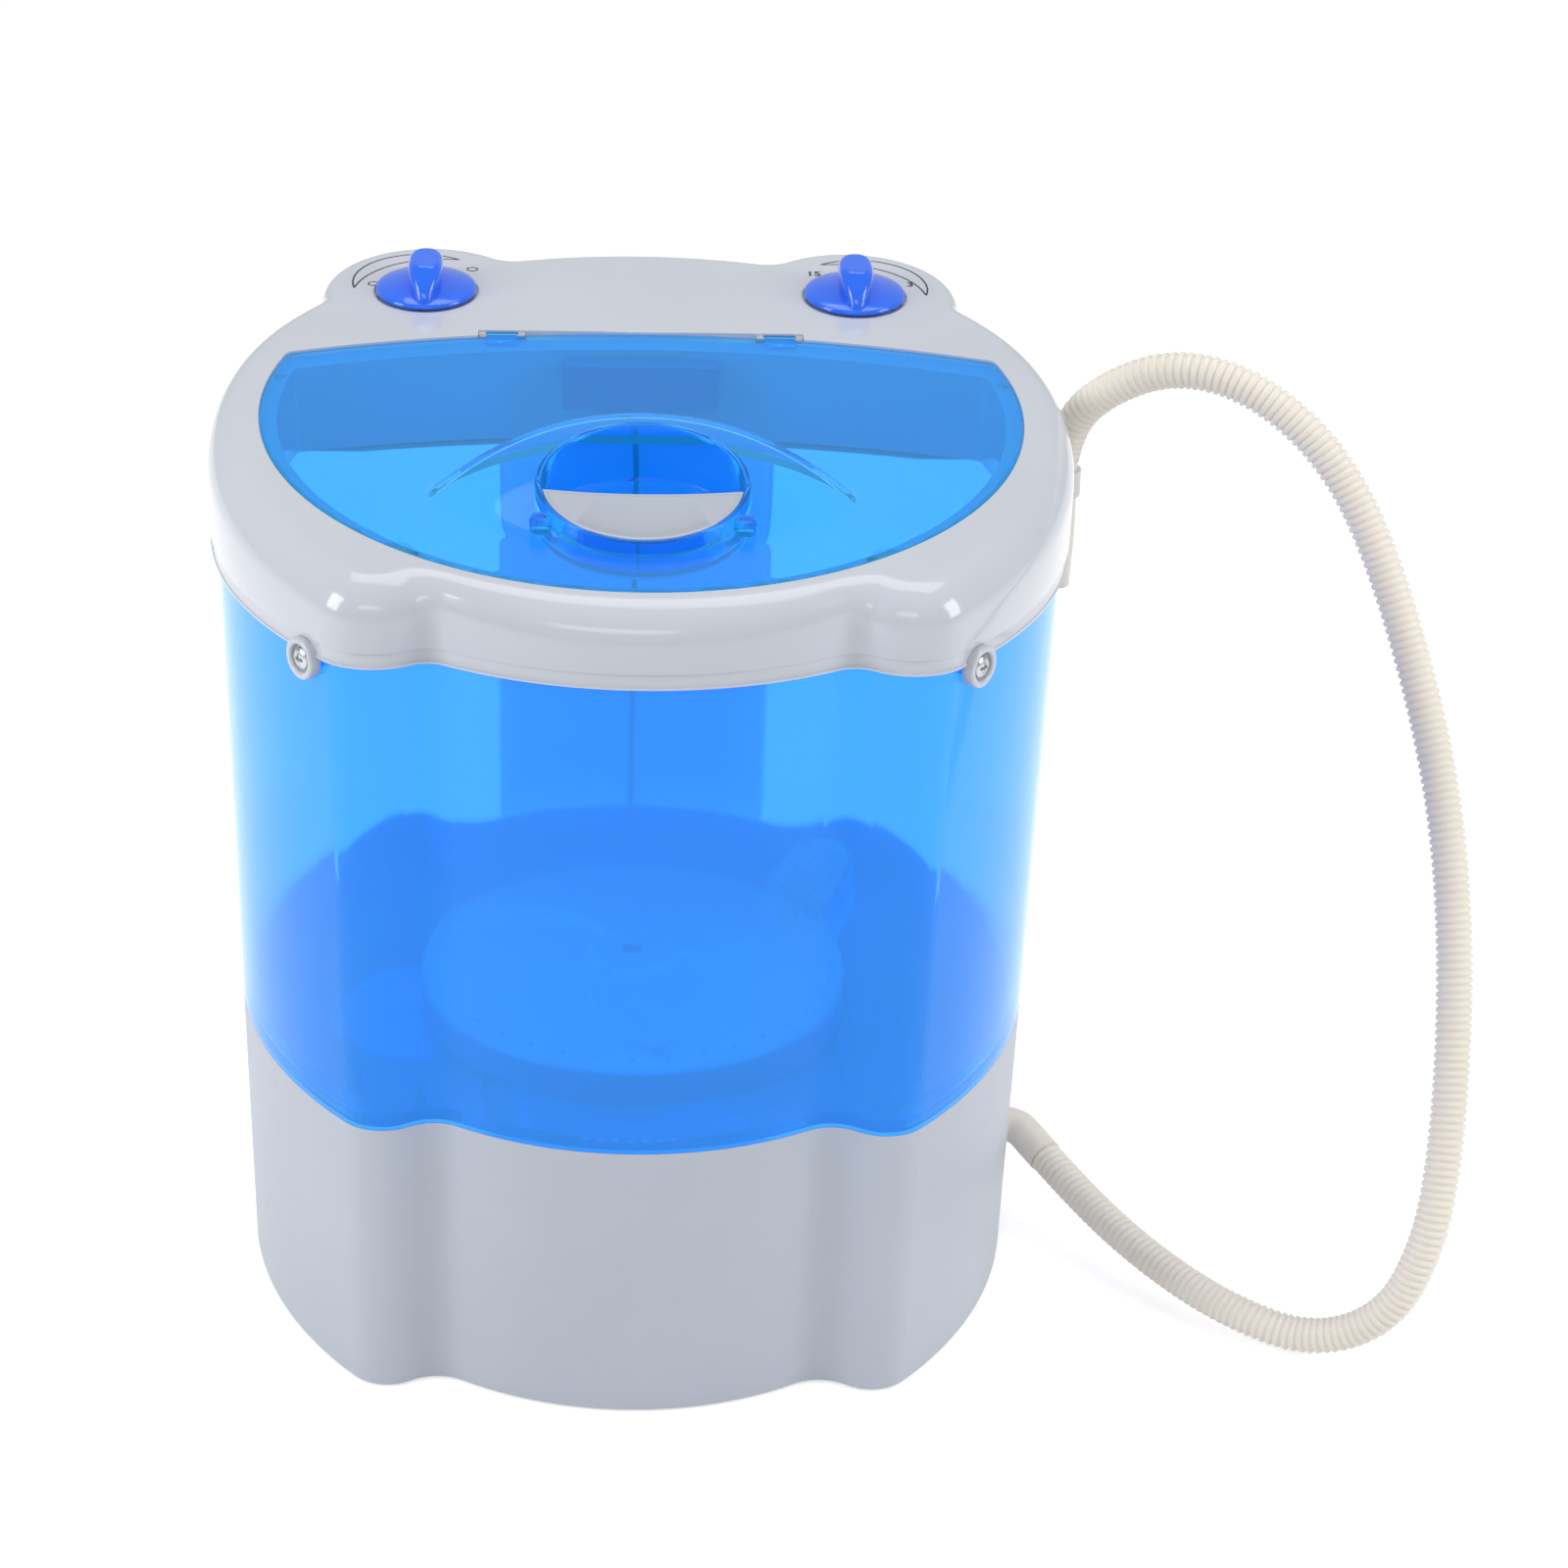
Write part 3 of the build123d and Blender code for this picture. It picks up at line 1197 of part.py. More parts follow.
# Bottom plate with air slots, on four rubber feet
with BuildPart() as bottom_plate:
    extrude(body_outline(plate_low, growth(plate_low) - wall - gap), amount=plate_thick)
    with BuildSketch(Plane.XY.offset(plate_low)) as openings:
        with Locations((0, vent_y)):
            with GridLocations(vent_pitch, vent_pitch, vent_count, 1):
                SlotOverall(vent_length, vent_width, rotation=90)
        with GridLocations(2 * foot_x, 2 * foot_y, 2, 2):
            Circle(foot_plug_radius)
        with GridLocations(2 * plate_screw_x, 2 * plate_screw_y, 2, 2):
            Circle(screw_radius + screw_hole_gap)
    extrude(openings.sketch, amount=plate_thick, mode=Mode.SUBTRACT)
    for place in foot_screws:
        post(place, screw_radius, -3 * plate_thick, mode=Mode.SUBTRACT)
save(bottom_plate.part, "bottom_plate")
with BuildPart() as rubber_feet:
    for hand, end in corners:
        place = moved(Plane.XY, hand * foot_x, end * foot_y)
        post(place, foot_radius, plate_low)
        post(place, foot_plug_radius, plate_high + foot_plug_proud)
save(rubber_feet.part, "rubber_feet")
with BuildPart() as bottom_plate_screws:
    for hand, end in corners:
        place = facing((hand * plate_screw_x, end * plate_screw_y, plate_low), (0, 0, -1))
        screw(place, screw_length, head_radius=plate_screw_head)
save(bottom_plate_screws.part, "bottom_plate_screws")

# Run capacitor under a strap, and the terminal block
capacitor_high = plate_high + gap + capacitor_radius
capacitor_plane = facing((capacitor_x - capacitor_length / 2, capacitor_y, capacitor_high), (1, 0, 0))
with BuildPart() as run_capacitor:
    post(capacitor_plane, capacitor_radius, capacitor_length)
    for hand in (-1, 1):
        terminal = moved(capacitor_plane, 0, hand * capacitor_radius / 3, capacitor_length)
        post(terminal, screw_radius, overrun)
save(run_capacitor.part, "run_capacitor")
with BuildPart() as capacitor_clip:
    clip_centre = (capacitor_x - clip_width / 2, capacitor_y, capacitor_high)
    clip_plane = Plane(origin=clip_centre, x_dir=(0, 1, 0), z_dir=(1, 0, 0))
    clip_drop = capacitor_high - plate_high
    clip_inside = capacitor_radius + gap
    for radius, mode in ((clip_inside + clip_thick, Mode.ADD), (clip_inside, Mode.SUBTRACT)):
        post(clip_plane, radius, clip_width, mode=mode)
        block(moved(clip_plane, 0, -radius), 2 * radius, 2 * radius, clip_width, mode=mode)
    split(bisect_by=Plane.XY.offset(plate_high), keep=Keep.TOP)
    for hand in (-1, 1):
        tab_y = capacitor_y + hand * (capacitor_radius + gap + clip_foot / 2)
        block(moved(Plane.XY, capacitor_x, tab_y, plate_high), clip_width, clip_foot, clip_thick)
save(capacitor_clip.part, "capacitor_clip")
with BuildPart() as terminal_block:
    terminal_plane = moved(Plane.XY, terminal_x, terminal_y, plate_high)
    block(terminal_plane, terminal_length, terminal_width, terminal_height)
    with BuildSketch(Plane.XY.offset(plate_high + terminal_height)) as terminals:
        with Locations((terminal_x, terminal_y)):
            with GridLocations(terminal_pitch, terminal_pitch, terminal_count, 2):
                Circle(terminal_pitch / 4)
    extrude(terminals.sketch, amount=-terminal_height / 2, mode=Mode.SUBTRACT)
save(terminal_block.part, "terminal_block")

# Drain: a perforated cover over the well, a pipe under the tub and the outlet through the base
with BuildPart() as drain_cover:
    round_slot(drain_plane, drain_length, drain_width, drain_cover_thick)
    with BuildSketch(drain_plane) as sieve:
        with GridLocations(drain_hole_pitch, drain_hole_pitch, drain_hole_columns, drain_hole_rows):
            Circle(drain_hole_radius)
    extrude(sieve.sketch, amount=drain_cover_thick, mode=Mode.SUBTRACT)
save(drain_cover.part, "drain_cover")
drain_inside = drain_nipple_radius + running_gap
drain_axis = [tuple(drain_plane.offset(-drain_depth - drop).origin) for drop in (gap, drain_drop)]
outlet_mouth = (outlet_low_x + drain_overlap, outlet_y, outlet_z)
with BuildPart() as drain_pipe:
    tube_along(drain_axis + drain_turns + [outlet_mouth], drain_inside + drain_pipe_wall, bore=drain_inside)
save(drain_pipe.part, "drain_pipe")
with BuildPart() as drain_outlet:
    outlet_flange = outlet_plane.offset(outlet_flange_x - outlet_low_x)
    post(outlet_plane, drain_nipple_radius, outlet_flange_x - outlet_low_x)
    post(outlet_flange, outlet_flange_radius, outlet_flange_thick)
    post(outlet_flange, outlet_radius, outlet_high_x - outlet_flange_x)
    post(outlet_plane, outlet_bore, half_width, mode=Mode.SUBTRACT)
save(drain_outlet.part, "drain_outlet")

# Drain hose with its cuff, its smooth nozzle and the hook that holds the nozzle beside the collar
print("bend radii of the cuff", [round(radius, 1) for radius in bend_radii(cuff_points)])
print("bend radii of the hose", [round(radius, 1) for radius in bend_radii(hose_points)])
with BuildPart() as hose_cuff:
    tube_along(cuff_points, cuff_radius, bore=outlet_radius + running_gap)
save(hose_cuff.part, "hose_cuff")
with BuildPart() as drain_hose:
    hose_path = tube_along(hose_points, hose_radius, bore=hose_bore)
print("hose length", round(sum(edge.length for edge in hose_path.edges()), 1))
save(drain_hose.part, "drain_hose")
hose_end = Vector(hose_points[-1])
nozzle_run = Vector(nozzle_end) - hose_end
nozzle_plane = facing(hose_points[-1], nozzle_run)
tip_plane = nozzle_plane.offset(nozzle_run.length)
with BuildPart() as hose_nozzle:
    post(nozzle_plane, nozzle_radius, nozzle_run.length - nozzle_tip)
    with BuildSketch(tip_plane.offset(-nozzle_tip)) as tip_start:
        Circle(nozzle_radius)
    with BuildSketch(tip_plane) as tip_finish:
        Circle(nozzle_tip_radius)
    loft([tip_start.sketch, tip_finish.sketch])
    post(nozzle_plane, nozzle_bore, nozzle_run.length, mode=Mode.SUBTRACT)
save(hose_nozzle.part, "hose_nozzle")
hook_plane = nozzle_plane.offset(hose_end.Z - hook_low - hook_height)
with BuildPart() as hose_hook:
    post(hook_plane, nozzle_radius + running_gap + hook_wall, hook_height)
    hook_x = hook_plane.origin.X
    with BuildSketch(Plane.XY.offset(hook_low)) as pad:
        with Locations(((hook_x + half_width) / 2, hook_plane.origin.Y)):
            Rectangle(hook_x - half_width, hook_pad_width)
    extrude(pad.sketch, amount=hook_height)
    extrude(collar_outline(hook_low - overrun, collar_grow + gap), amount=hook_height + 2 * overrun,
            mode=Mode.SUBTRACT)
    extrude(body_outline(hook_low - overrun, collar_grow + gap), amount=hook_height + 2 * overrun,
            mode=Mode.SUBTRACT)
    post(hook_plane.offset(-overrun), nozzle_radius + running_gap, hook_height + 2 * overrun,
         mode=Mode.SUBTRACT)
save(hose_hook.part, "hose_hook")

# Cover of the wiring duct on the back, wide below the collar and narrow over it
with BuildPart() as rear_duct_cover:
    duct_side = duct_reach / 2
    for inset, mode in ((0, Mode.ADD), (duct_wall, Mode.SUBTRACT)):
        for half_span, high in ((duct_half_width, collar_low - gap), (duct_neck_half_width, duct_high)):
            with BuildSketch(Plane.XY.offset(duct_low + inset)) as tray:
                with Locations((0, duct_centre.Y)):
                    Circle(duct_radius - inset)
                with Locations((0, duct_reach - duct_side / 2)):
                    Rectangle(2 * (half_span - inset), duct_side, mode=Mode.INTERSECT)
            extrude(tray.sketch, amount=high - duct_low - 2 * inset, mode=mode)
    for plane in duct_screw_planes:
        post(plane.offset(duct_screw_head_height - duct_wall / 2), duct_post_radius, -duct_screw_length)
    drafted = [body_outline(height, growth(height) + gap) for height in (0, seam_height, tub_top)]
    loft(drafted, ruled=True, mode=Mode.SUBTRACT)
    extrude(body_outline(collar_low - gap, band_grow + gap), amount=duct_high, mode=Mode.SUBTRACT)
    extrude(collar_outline(collar_low - gap, collar_grow + gap), amount=duct_high, mode=Mode.SUBTRACT)
    for plane in duct_screw_planes:
        post(plane, duct_screw_head + gap, overrun, mode=Mode.SUBTRACT)
        post(plane.offset(overrun), screw_radius + screw_hole_gap, -3 * overrun - duct_screw_length,
             mode=Mode.SUBTRACT)
save(rear_duct_cover.part, "rear_duct_cover")
with BuildPart() as duct_screws:
    for plane in duct_screw_planes:
        screw(plane, duct_screw_length, head_radius=duct_screw_head, head_height=duct_screw_head_height)
save(duct_screws.part, "duct_screws")

# Wires from the terminal block up the duct to the timer, and the gland where the mains cord would enter
with BuildPart() as wire_harness:
    tube_along(harness_points, harness_radius)
save(wire_harness.part, "wire_harness")
with BuildPart() as mains_gland:
    with BuildSketch(gland_plane) as gland_head:
        RegularPolygon(gland_radius, 6)
    extrude(gland_head.sketch, amount=gland_height - gland_gap)
    post(gland_plane, gland_neck, -(gland_gap + 3 * wall))
    post(gland_plane.offset(gland_height), gland_bore, -2 * gland_height - 3 * wall, mode=Mode.SUBTRACT)
save(mains_gland.part, "mains_gland")
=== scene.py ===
import json
from math import atan2, cos, pi, radians, sin, sqrt, tan

import bmesh
import bpy
import numpy as np
from mathutils import Matrix, Vector
from mathutils.geometry import delaunay_2d_cdt


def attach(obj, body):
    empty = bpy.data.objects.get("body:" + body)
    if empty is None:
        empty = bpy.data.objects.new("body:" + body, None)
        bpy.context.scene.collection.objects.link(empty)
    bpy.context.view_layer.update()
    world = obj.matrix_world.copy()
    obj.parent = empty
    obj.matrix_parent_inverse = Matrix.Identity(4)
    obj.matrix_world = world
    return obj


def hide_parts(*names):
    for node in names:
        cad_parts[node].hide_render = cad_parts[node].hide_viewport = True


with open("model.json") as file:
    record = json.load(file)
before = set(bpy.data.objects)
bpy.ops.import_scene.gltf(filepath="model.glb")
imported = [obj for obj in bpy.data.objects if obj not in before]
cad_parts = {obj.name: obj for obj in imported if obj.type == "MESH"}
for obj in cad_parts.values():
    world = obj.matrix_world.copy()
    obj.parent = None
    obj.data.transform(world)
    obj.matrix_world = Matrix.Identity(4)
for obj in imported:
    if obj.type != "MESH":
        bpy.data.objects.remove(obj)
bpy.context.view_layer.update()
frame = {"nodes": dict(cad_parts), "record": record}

bl_info = {
    "name": "Mini washing machine",
    "version": (1, 0, 0),
    "blender": (4, 5, 0),
    "location": "View3D > Sidebar > Washer",
    "description": "Dresses the packed washing machine in smooth mouldings, marks and finishes",
    "category": "Object",
}

MM = 0.001
MICRON = 0.000001

# The plan of the body and collar in millimetres, as the solids have it
HALF_WIDTH = 180.0
FRONT_REACH = 170.0
REAR_REACH = 164.0
SIDE_RADIUS = 217.0
END_RADIUS = 146.0
LOBE_RADIUS = 22.0
NOTCH_RADIUS = 18.0
LOBE_ANGLE = 42.4
EAR = (97.0, 126.0)
EAR_RADIUS = 44.0
WAIST_RADIUS = 20.0
BACK_REACH = 164.5
BACK_RADIUS = 220.0
COLLAR_GROW = 5.0
PANEL_HEIGHT = 401.2
PANEL_TILT = radians(6.3)
LID_RADIUS = 163.0
LID_CENTRE = (0.0, 6.0)
LID_BACK_Y = 78.0
LID_BACK_RADIUS = 499.0
LID_CORNER = 4.0
LID_TOP = -0.4
LID_WALL = 2.8
ARCH_CENTRE_V = -127.5
ARCH_RADIUS = 102.9
CUP_Y = -82.0
CUP_RADIUS = 43.9
RIM_FRONT = 4.7
RIM_SLOPE = tan(radians(6.1))
KNOB_X = 98.0
KNOB_Y = 122.7
KNOB_WELL_RADIUS = 24.9
HINGE_X = 62.0
PIN_DEPTH = 2.2
LUG_PLACE = (41.2, -107.5)
BOSS_ANGLE = 39.4
BOSS_HEIGHT = 347.5
BAND_TOP = 356.5

# The route of the drain hose in metres, as the solids have it
HOSE_ROUTE = [
    (0.1979, -0.0068, 0.0333), (0.2165, -0.0362, 0.0241), (0.2435, -0.073, 0.0165), (0.274, -0.1035, 0.0114),
    (0.309, -0.1215, 0.0086), (0.3385, -0.13, 0.029), (0.352, -0.126, 0.066), (0.357, -0.1135, 0.103),
    (0.359, -0.097, 0.144), (0.358, -0.0795, 0.19), (0.353, -0.061, 0.237), (0.3425, -0.0425, 0.283),
    (0.3265, -0.022, 0.331), (0.309, -0.0075, 0.369), (0.288, 0.0045, 0.395), (0.26, 0.0165, 0.4125),
    (0.231, 0.0285, 0.4155), (0.205, 0.0405, 0.401), (0.1903, 0.051, 0.3805), (0.1888, 0.0539, 0.362),
]

SHADE = {"size": 3, "subtype": "COLOR_GAMMA", "min": 0.0, "max": 1.0}


class WasherSizes(bpy.types.PropertyGroup):
    """Sizes of the mouldings that the scene adds to the solids."""

    collar_round_front: bpy.props.FloatProperty(
        name="Front rounding", description="Radius at the collar's front", default=0.016, unit="LENGTH")
    collar_round_rear: bpy.props.FloatProperty(
        name="Rear rounding", description="Radius round the collar's ears", default=0.008, unit="LENGTH")
    dome_height: bpy.props.FloatProperty(
        name="Dome height", description="Height of the lid's dome", default=0.0145, unit="LENGTH")
    hose_diameter: bpy.props.FloatProperty(
        name="Hose diameter", description="Outside diameter over the ridges", default=0.016, unit="LENGTH")
    hose_pitch: bpy.props.FloatProperty(
        name="Hose pitch", description="Distance from one ridge to the next", default=0.0034, unit="LENGTH")
    hose_groove: bpy.props.FloatProperty(
        name="Groove depth", description="Depth between the ridges", default=0.0011, unit="LENGTH")


class WasherColours(bpy.types.PropertyGroup):
    """Colours of the main finishes, as they look on a screen."""

    collar: bpy.props.FloatVectorProperty(
        name="Collar", description="Glossy grey of the collar", default=(0.795, 0.815, 0.855), **SHADE)
    base: bpy.props.FloatVectorProperty(
        name="Base", description="Satin grey of the base housing", default=(0.76, 0.785, 0.83), **SHADE)
    tub: bpy.props.FloatVectorProperty(
        name="Tub", description="Tint of the translucent tub", default=(0.49, 0.75, 0.985), **SHADE)
    lid: bpy.props.FloatVectorProperty(
        name="Lid", description="Tint of the translucent lid", default=(0.45, 0.81, 1.0), **SHADE)
    knob: bpy.props.FloatVectorProperty(
        name="Knobs", description="Opaque blue of the knobs", default=(0.06, 0.42, 0.97), **SHADE)
    hose: bpy.props.FloatVectorProperty(
        name="Hose", description="Warm white of the drain hose", default=(0.95, 0.925, 0.88), **SHADE)


class WasherStage(bpy.types.PropertyGroup):
    """Levels of the studio that the washer stands in."""

    key_power: bpy.props.FloatProperty(
        name="Key lamps", description="Power of the two side lamps in watts", default=15.0, min=0.0)
    front_power: bpy.props.FloatProperty(
        name="Front lamp", description="Power of the lamp over the camera in watts", default=2.8, min=0.0)
    top_power: bpy.props.FloatProperty(
        name="Top lamp", description="Power of the lamp over the washer in watts", default=6.0, min=0.0)
    room_level: bpy.props.FloatProperty(
        name="Room light", description="Strength of the even light from all sides", default=0.5, min=0.0)
    floor_glow: bpy.props.FloatProperty(
        name="Floor white", description="How much white the camera adds to the floor", default=0.55, min=0.0)


# Points and loops


def on_panel(u, v, w=0.0):
    """The place of a point that is given in the tilted panel's own axes, in millimetres."""
    slope, drop = cos(PANEL_TILT), sin(PANEL_TILT)
    return (u, v * slope - w * drop, PANEL_HEIGHT + v * drop + w * slope)


def meeting(first, first_radius, second, second_radius, side):
    """The point at these distances from two centres, on the left (1) or right (-1) of the line between."""
    first, second = Vector(first), Vector(second)
    step = (second - first).normalized()
    span = (second - first).length
    along = (first_radius**2 - second_radius**2 + span**2) / (2 * span)
    across = sqrt(max(first_radius**2 - along**2, 0.0))
    return first + step * along + Vector((-step.y, step.x)) * (across * side)


def arc(centre, radius, first, last, count, hollow=False):
    """Points of an arc from one direction to another, each with the way that faces out of the outline."""
    start = atan2(first[1] - centre[1], first[0] - centre[0])
    end = atan2(last[1] - centre[1], last[0] - centre[0])
    sweep = (end - start + pi) % (2 * pi) - pi
    facing = -1.0 if hollow else 1.0
    rows = []
    for step in range(count):
        turn = start + sweep * step / count
        x, y = cos(turn), sin(turn)
        rows.append((centre[0] + radius * x, centre[1] + radius * y, facing * x, facing * y))
    return rows


def lobed_end(reach, turn):
    """A quarter of the body's outline, from the middle of the front (-1) or back (1) to the right side."""
    side = (HALF_WIDTH - SIDE_RADIUS, 0.0)
    end = (0.0, turn * (reach - END_RADIUS))
    arm = SIDE_RADIUS - LOBE_RADIUS
    lobe = (side[0] + arm * cos(radians(LOBE_ANGLE)), turn * arm * sin(radians(LOBE_ANGLE)))
    notch = meeting(end, END_RADIUS + NOTCH_RADIUS, lobe, LOBE_RADIUS + NOTCH_RADIUS, turn)
    away = (2 * lobe[0] - side[0], 2 * lobe[1] - side[1])
    return (arc(end, END_RADIUS, (0, turn * reach), notch, 22)
            + arc(notch, NOTCH_RADIUS, end, lobe, 12, hollow=True)
            + arc(lobe, LOBE_RADIUS, notch, away, 16)
            + arc(side, SIDE_RADIUS, lobe, (HALF_WIDTH, 0), 34))


def mirrored(half, middle):
    """A closed loop from its right half and the point where that half ends."""
    left = [(-x, y, -nx, ny) for x, y, nx, ny in reversed(half[1:])]
    return np.array(half + [middle] + left)


def body_loop():
    """The body's outline: lobed at the front and the back."""
    front = lobed_end(FRONT_REACH, -1)
    back = lobed_end(REAR_REACH, 1)
    side = (HALF_WIDTH, 0.0, 1.0, 0.0)
    back_half = [side] + list(reversed(back[1:]))
    return mirrored(front + back_half, (0.0, REAR_REACH, 0.0, 1.0))


def collar_loop():
    """The collar's outline: lobed at the front, round with two ears at the back."""
    back = (0.0, BACK_REACH - BACK_RADIUS)
    waist = meeting((0, 0), HALF_WIDTH + WAIST_RADIUS, EAR, EAR_RADIUS + WAIST_RADIUS, -1)
    notch = meeting(back, BACK_RADIUS + NOTCH_RADIUS, EAR, EAR_RADIUS + NOTCH_RADIUS, 1)
    rear = (arc((0, 0), HALF_WIDTH, (HALF_WIDTH, 0), waist, 18)
            + arc(waist, WAIST_RADIUS, (0, 0), EAR, 12, hollow=True)
            + arc(EAR, EAR_RADIUS, waist, notch, 40)
            + arc(notch, NOTCH_RADIUS, EAR, back, 12, hollow=True)
            + arc(back, BACK_RADIUS, notch, (0, BACK_REACH), 14))
    return mirrored(lobed_end(FRONT_REACH, -1) + rear, (0.0, BACK_REACH, 0.0, 1.0))


def lid_loop(grow, back_grow):
    """The lid's outline in the panel's axes, its round edge and its back edge grown separately."""
    back = (0.0, LID_BACK_Y - LID_BACK_RADIUS)
    reach = LID_RADIUS + grow
    back_reach = LID_BACK_RADIUS + back_grow
    corner = meeting(LID_CENTRE, reach - LID_CORNER, back, back_reach - LID_CORNER, -1)
    half = (arc(LID_CENTRE, reach, (0, -LID_RADIUS), corner, 90)
            + arc(corner, LID_CORNER, 2 * corner - Vector(LID_CENTRE), 2 * corner - Vector(back), 8)
            + arc(back, back_reach, corner, (0, LID_BACK_Y), 40))
    return mirrored(half, (0.0, LID_BACK_Y + back_grow, 0.0, 1.0))


def flat_ring(loop, grow, height):
    """A loop grown by an amount, at a height."""
    return [(x + nx * grow, y + ny * grow, height) for x, y, nx, ny in loop]


# Meshes


def within(rings, spots):
    """Which spots lie inside an odd number of rings, and so in the area that the rings bound."""
    odd = np.zeros(len(spots), bool)
    for ring in rings:
        for (ax, ay), (bx, by) in zip(ring, [*ring[1:], ring[0]]):
            if ay != by:
                crossed = (ay > spots[:, 1]) != (by > spots[:, 1])
                odd ^= crossed & (spots[:, 0] < (bx - ax) * (spots[:, 1] - ay) / (by - ay) + ax)
    return odd


class Mould:
    """Collects the points and faces of one piece, in millimetres."""

    def __init__(self):
        self.points = []
        self.faces = []

    def ring(self, points):
        """Adds a closed ring of points and returns their numbers."""
        start = len(self.points)
        self.points.extend(points)
        return list(range(start, len(self.points)))

    def wall(self, rings, closed=False):
        """Joins rings of equal counts in a row, and the last to the first where closed."""
        pairs = list(zip(rings, rings[1:] + rings[:1]))
        for first, second in pairs if closed else pairs[:-1]:
            for i, here in enumerate(first):
                after = (i + 1) % len(first)
                self.faces.append((here, first[after], second[after], second[i]))

    def skin(self, sections, closed=False):
        """Adds rings given as lists of points, and joins them."""
        rings = [self.ring(points) for points in sections]
        self.wall(rings, closed)
        return rings

    def cap(self, ring):
        """Closes a ring with a fan from its middle."""
        middle = np.mean([self.points[i] for i in ring], axis=0)
        hub = self.ring([tuple(middle)])[0]
        for i, here in enumerate(ring):
            self.faces.append((here, ring[(i + 1) % len(ring)], hub))

    def plug(self, rings):
        """Closes the first and the last of a row of rings."""
        self.cap(rings[0])
        self.cap(rings[-1])

    def fill(self, rings, place, spots=()):
        """Fills the flat area between rings of (u, v) points with triangles, placed by a function."""
        flat = [Vector(point) for ring in rings for point in ring]
        edges, start = [], 0
        for ring in rings:
            edges += [(start + i, start + (i + 1) % len(ring)) for i in range(len(ring))]
            start += len(ring)
        flat += [Vector(spot) for spot in spots]
        made, _, faces, *_ = delaunay_2d_cdt(flat, edges, [], 0, 1e-6)
        corners = np.array([point[:] for point in made])
        kept = within(rings, np.array([corners[list(face)].mean(axis=0) for face in faces]))
        numbers = self.ring([place(*point) for point in made])
        for face, keep in zip(faces, kept):
            if keep:
                self.faces.append(tuple(numbers[i] for i in face))

    def block(self, across, along, heights):
        """A closed block in the panel's axes, each side given by its two ends."""
        corners = [(across[0], along[0]), (across[1], along[0]), (across[1], along[1]), (across[0], along[1])]
        for ring in self.skin([[on_panel(u, v, height) for u, v in corners] for height in heights]):
            self.faces.append(tuple(ring))

    def lathe(self, rows, place, count=48):
        """Turns rows of (radius, height) about an axis, placed by a function of (x, y, height)."""
        turns = [2 * pi * i / count for i in range(count)]
        rings = [self.ring([place(r * cos(t), r * sin(t), h) for t in turns]) for r, h in rows]
        self.wall(rings)
        return rings

    def piece(self, name, material, sharp=32.0, merge=1e-6):
        """Makes the object from the points and faces, smooth up to an angle."""
        mesh = bpy.data.meshes.new(name)
        mesh.from_pydata([(x * MM, y * MM, z * MM) for x, y, z in self.points], [], self.faces)
        cleaned(mesh, merge)
        return finished(name, mesh, material, sharp)


def cleaned(mesh, merge):
    """Merges a mesh's doubles and faces its skin outwards."""
    work = bmesh.new()
    work.from_mesh(mesh)
    bmesh.ops.remove_doubles(work, verts=work.verts, dist=merge)
    bmesh.ops.dissolve_degenerate(work, edges=work.edges, dist=merge)
    bmesh.ops.recalc_face_normals(work, faces=work.faces)
    work.to_mesh(mesh)
    work.free()


def put(name, data):
    """A new object in the scene."""
    made = bpy.data.objects.new(name, data)
    bpy.context.scene.collection.objects.link(made)
    return made


def finished(name, mesh, material, sharp=32.0):
    """An object at the origin with a smooth mesh of one material."""
    mesh.materials.clear()
    mesh.materials.append(material)
    mesh.shade_smooth()
    mesh.set_sharp_from_angle(angle=radians(sharp))
    return put(name, mesh)


def seen_mesh(made):
    """The mesh of an object with its modifiers applied."""
    bpy.context.view_layer.update()
    return bpy.data.meshes.new_from_object(made.evaluated_get(bpy.context.evaluated_depsgraph_get()))


def plain_mesh(maker):
    """The same mesh, after which the object itself is removed."""
    mesh = seen_mesh(maker)
    bpy.data.objects.remove(maker)
    return mesh


def riding(made, body, slot, *nodes):
    """Lets a finished piece ride on a body and stand for CAD nodes, which it hides. The slot is not used."""
    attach(made, body)
    if nodes:
        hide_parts(*nodes)
    return made


# Finishes


def add_node(tree, kind, inputs=None, **settings):
    """Adds a node, sets its own settings, and sets or links its inputs."""
    made = tree.nodes.new(kind)
    for key, value in settings.items():
        setattr(made, key, value)
    for key, value in (inputs or {}).items():
        if isinstance(value, bpy.types.NodeSocket):
            tree.links.new(value, made.inputs[key])
        else:
            made.inputs[key].default_value = value
    return made


def maths(tree, operation, *values):
    """A sum on numbers or sockets."""
    return add_node(tree, "ShaderNodeMath", dict(enumerate(values)), operation=operation).outputs[0]


def noise(tree, place, scale, detail, roughness=0.5, distortion=0.0):
    """A cloud of values over the surface."""
    return add_node(tree, "ShaderNodeTexNoise", {
        "Vector": place, "Scale": scale, "Detail": detail, "Roughness": roughness,
        "Distortion": distortion}).outputs[0]


def new_group(name, kind, wanted, given):
    """A node group with named inputs (name, type, default) and outputs (name, type)."""
    tree = bpy.data.node_groups.new(name, kind)
    for label, socket, default in wanted:
        made = tree.interface.new_socket(name=label, in_out="INPUT", socket_type="NodeSocket" + socket)
        if default is not None:
            made.default_value = default
    for label, socket in given:
        tree.interface.new_socket(name=label, in_out="OUTPUT", socket_type="NodeSocket" + socket)
    return tree, tree.nodes.new("NodeGroupInput"), tree.nodes.new("NodeGroupOutput")


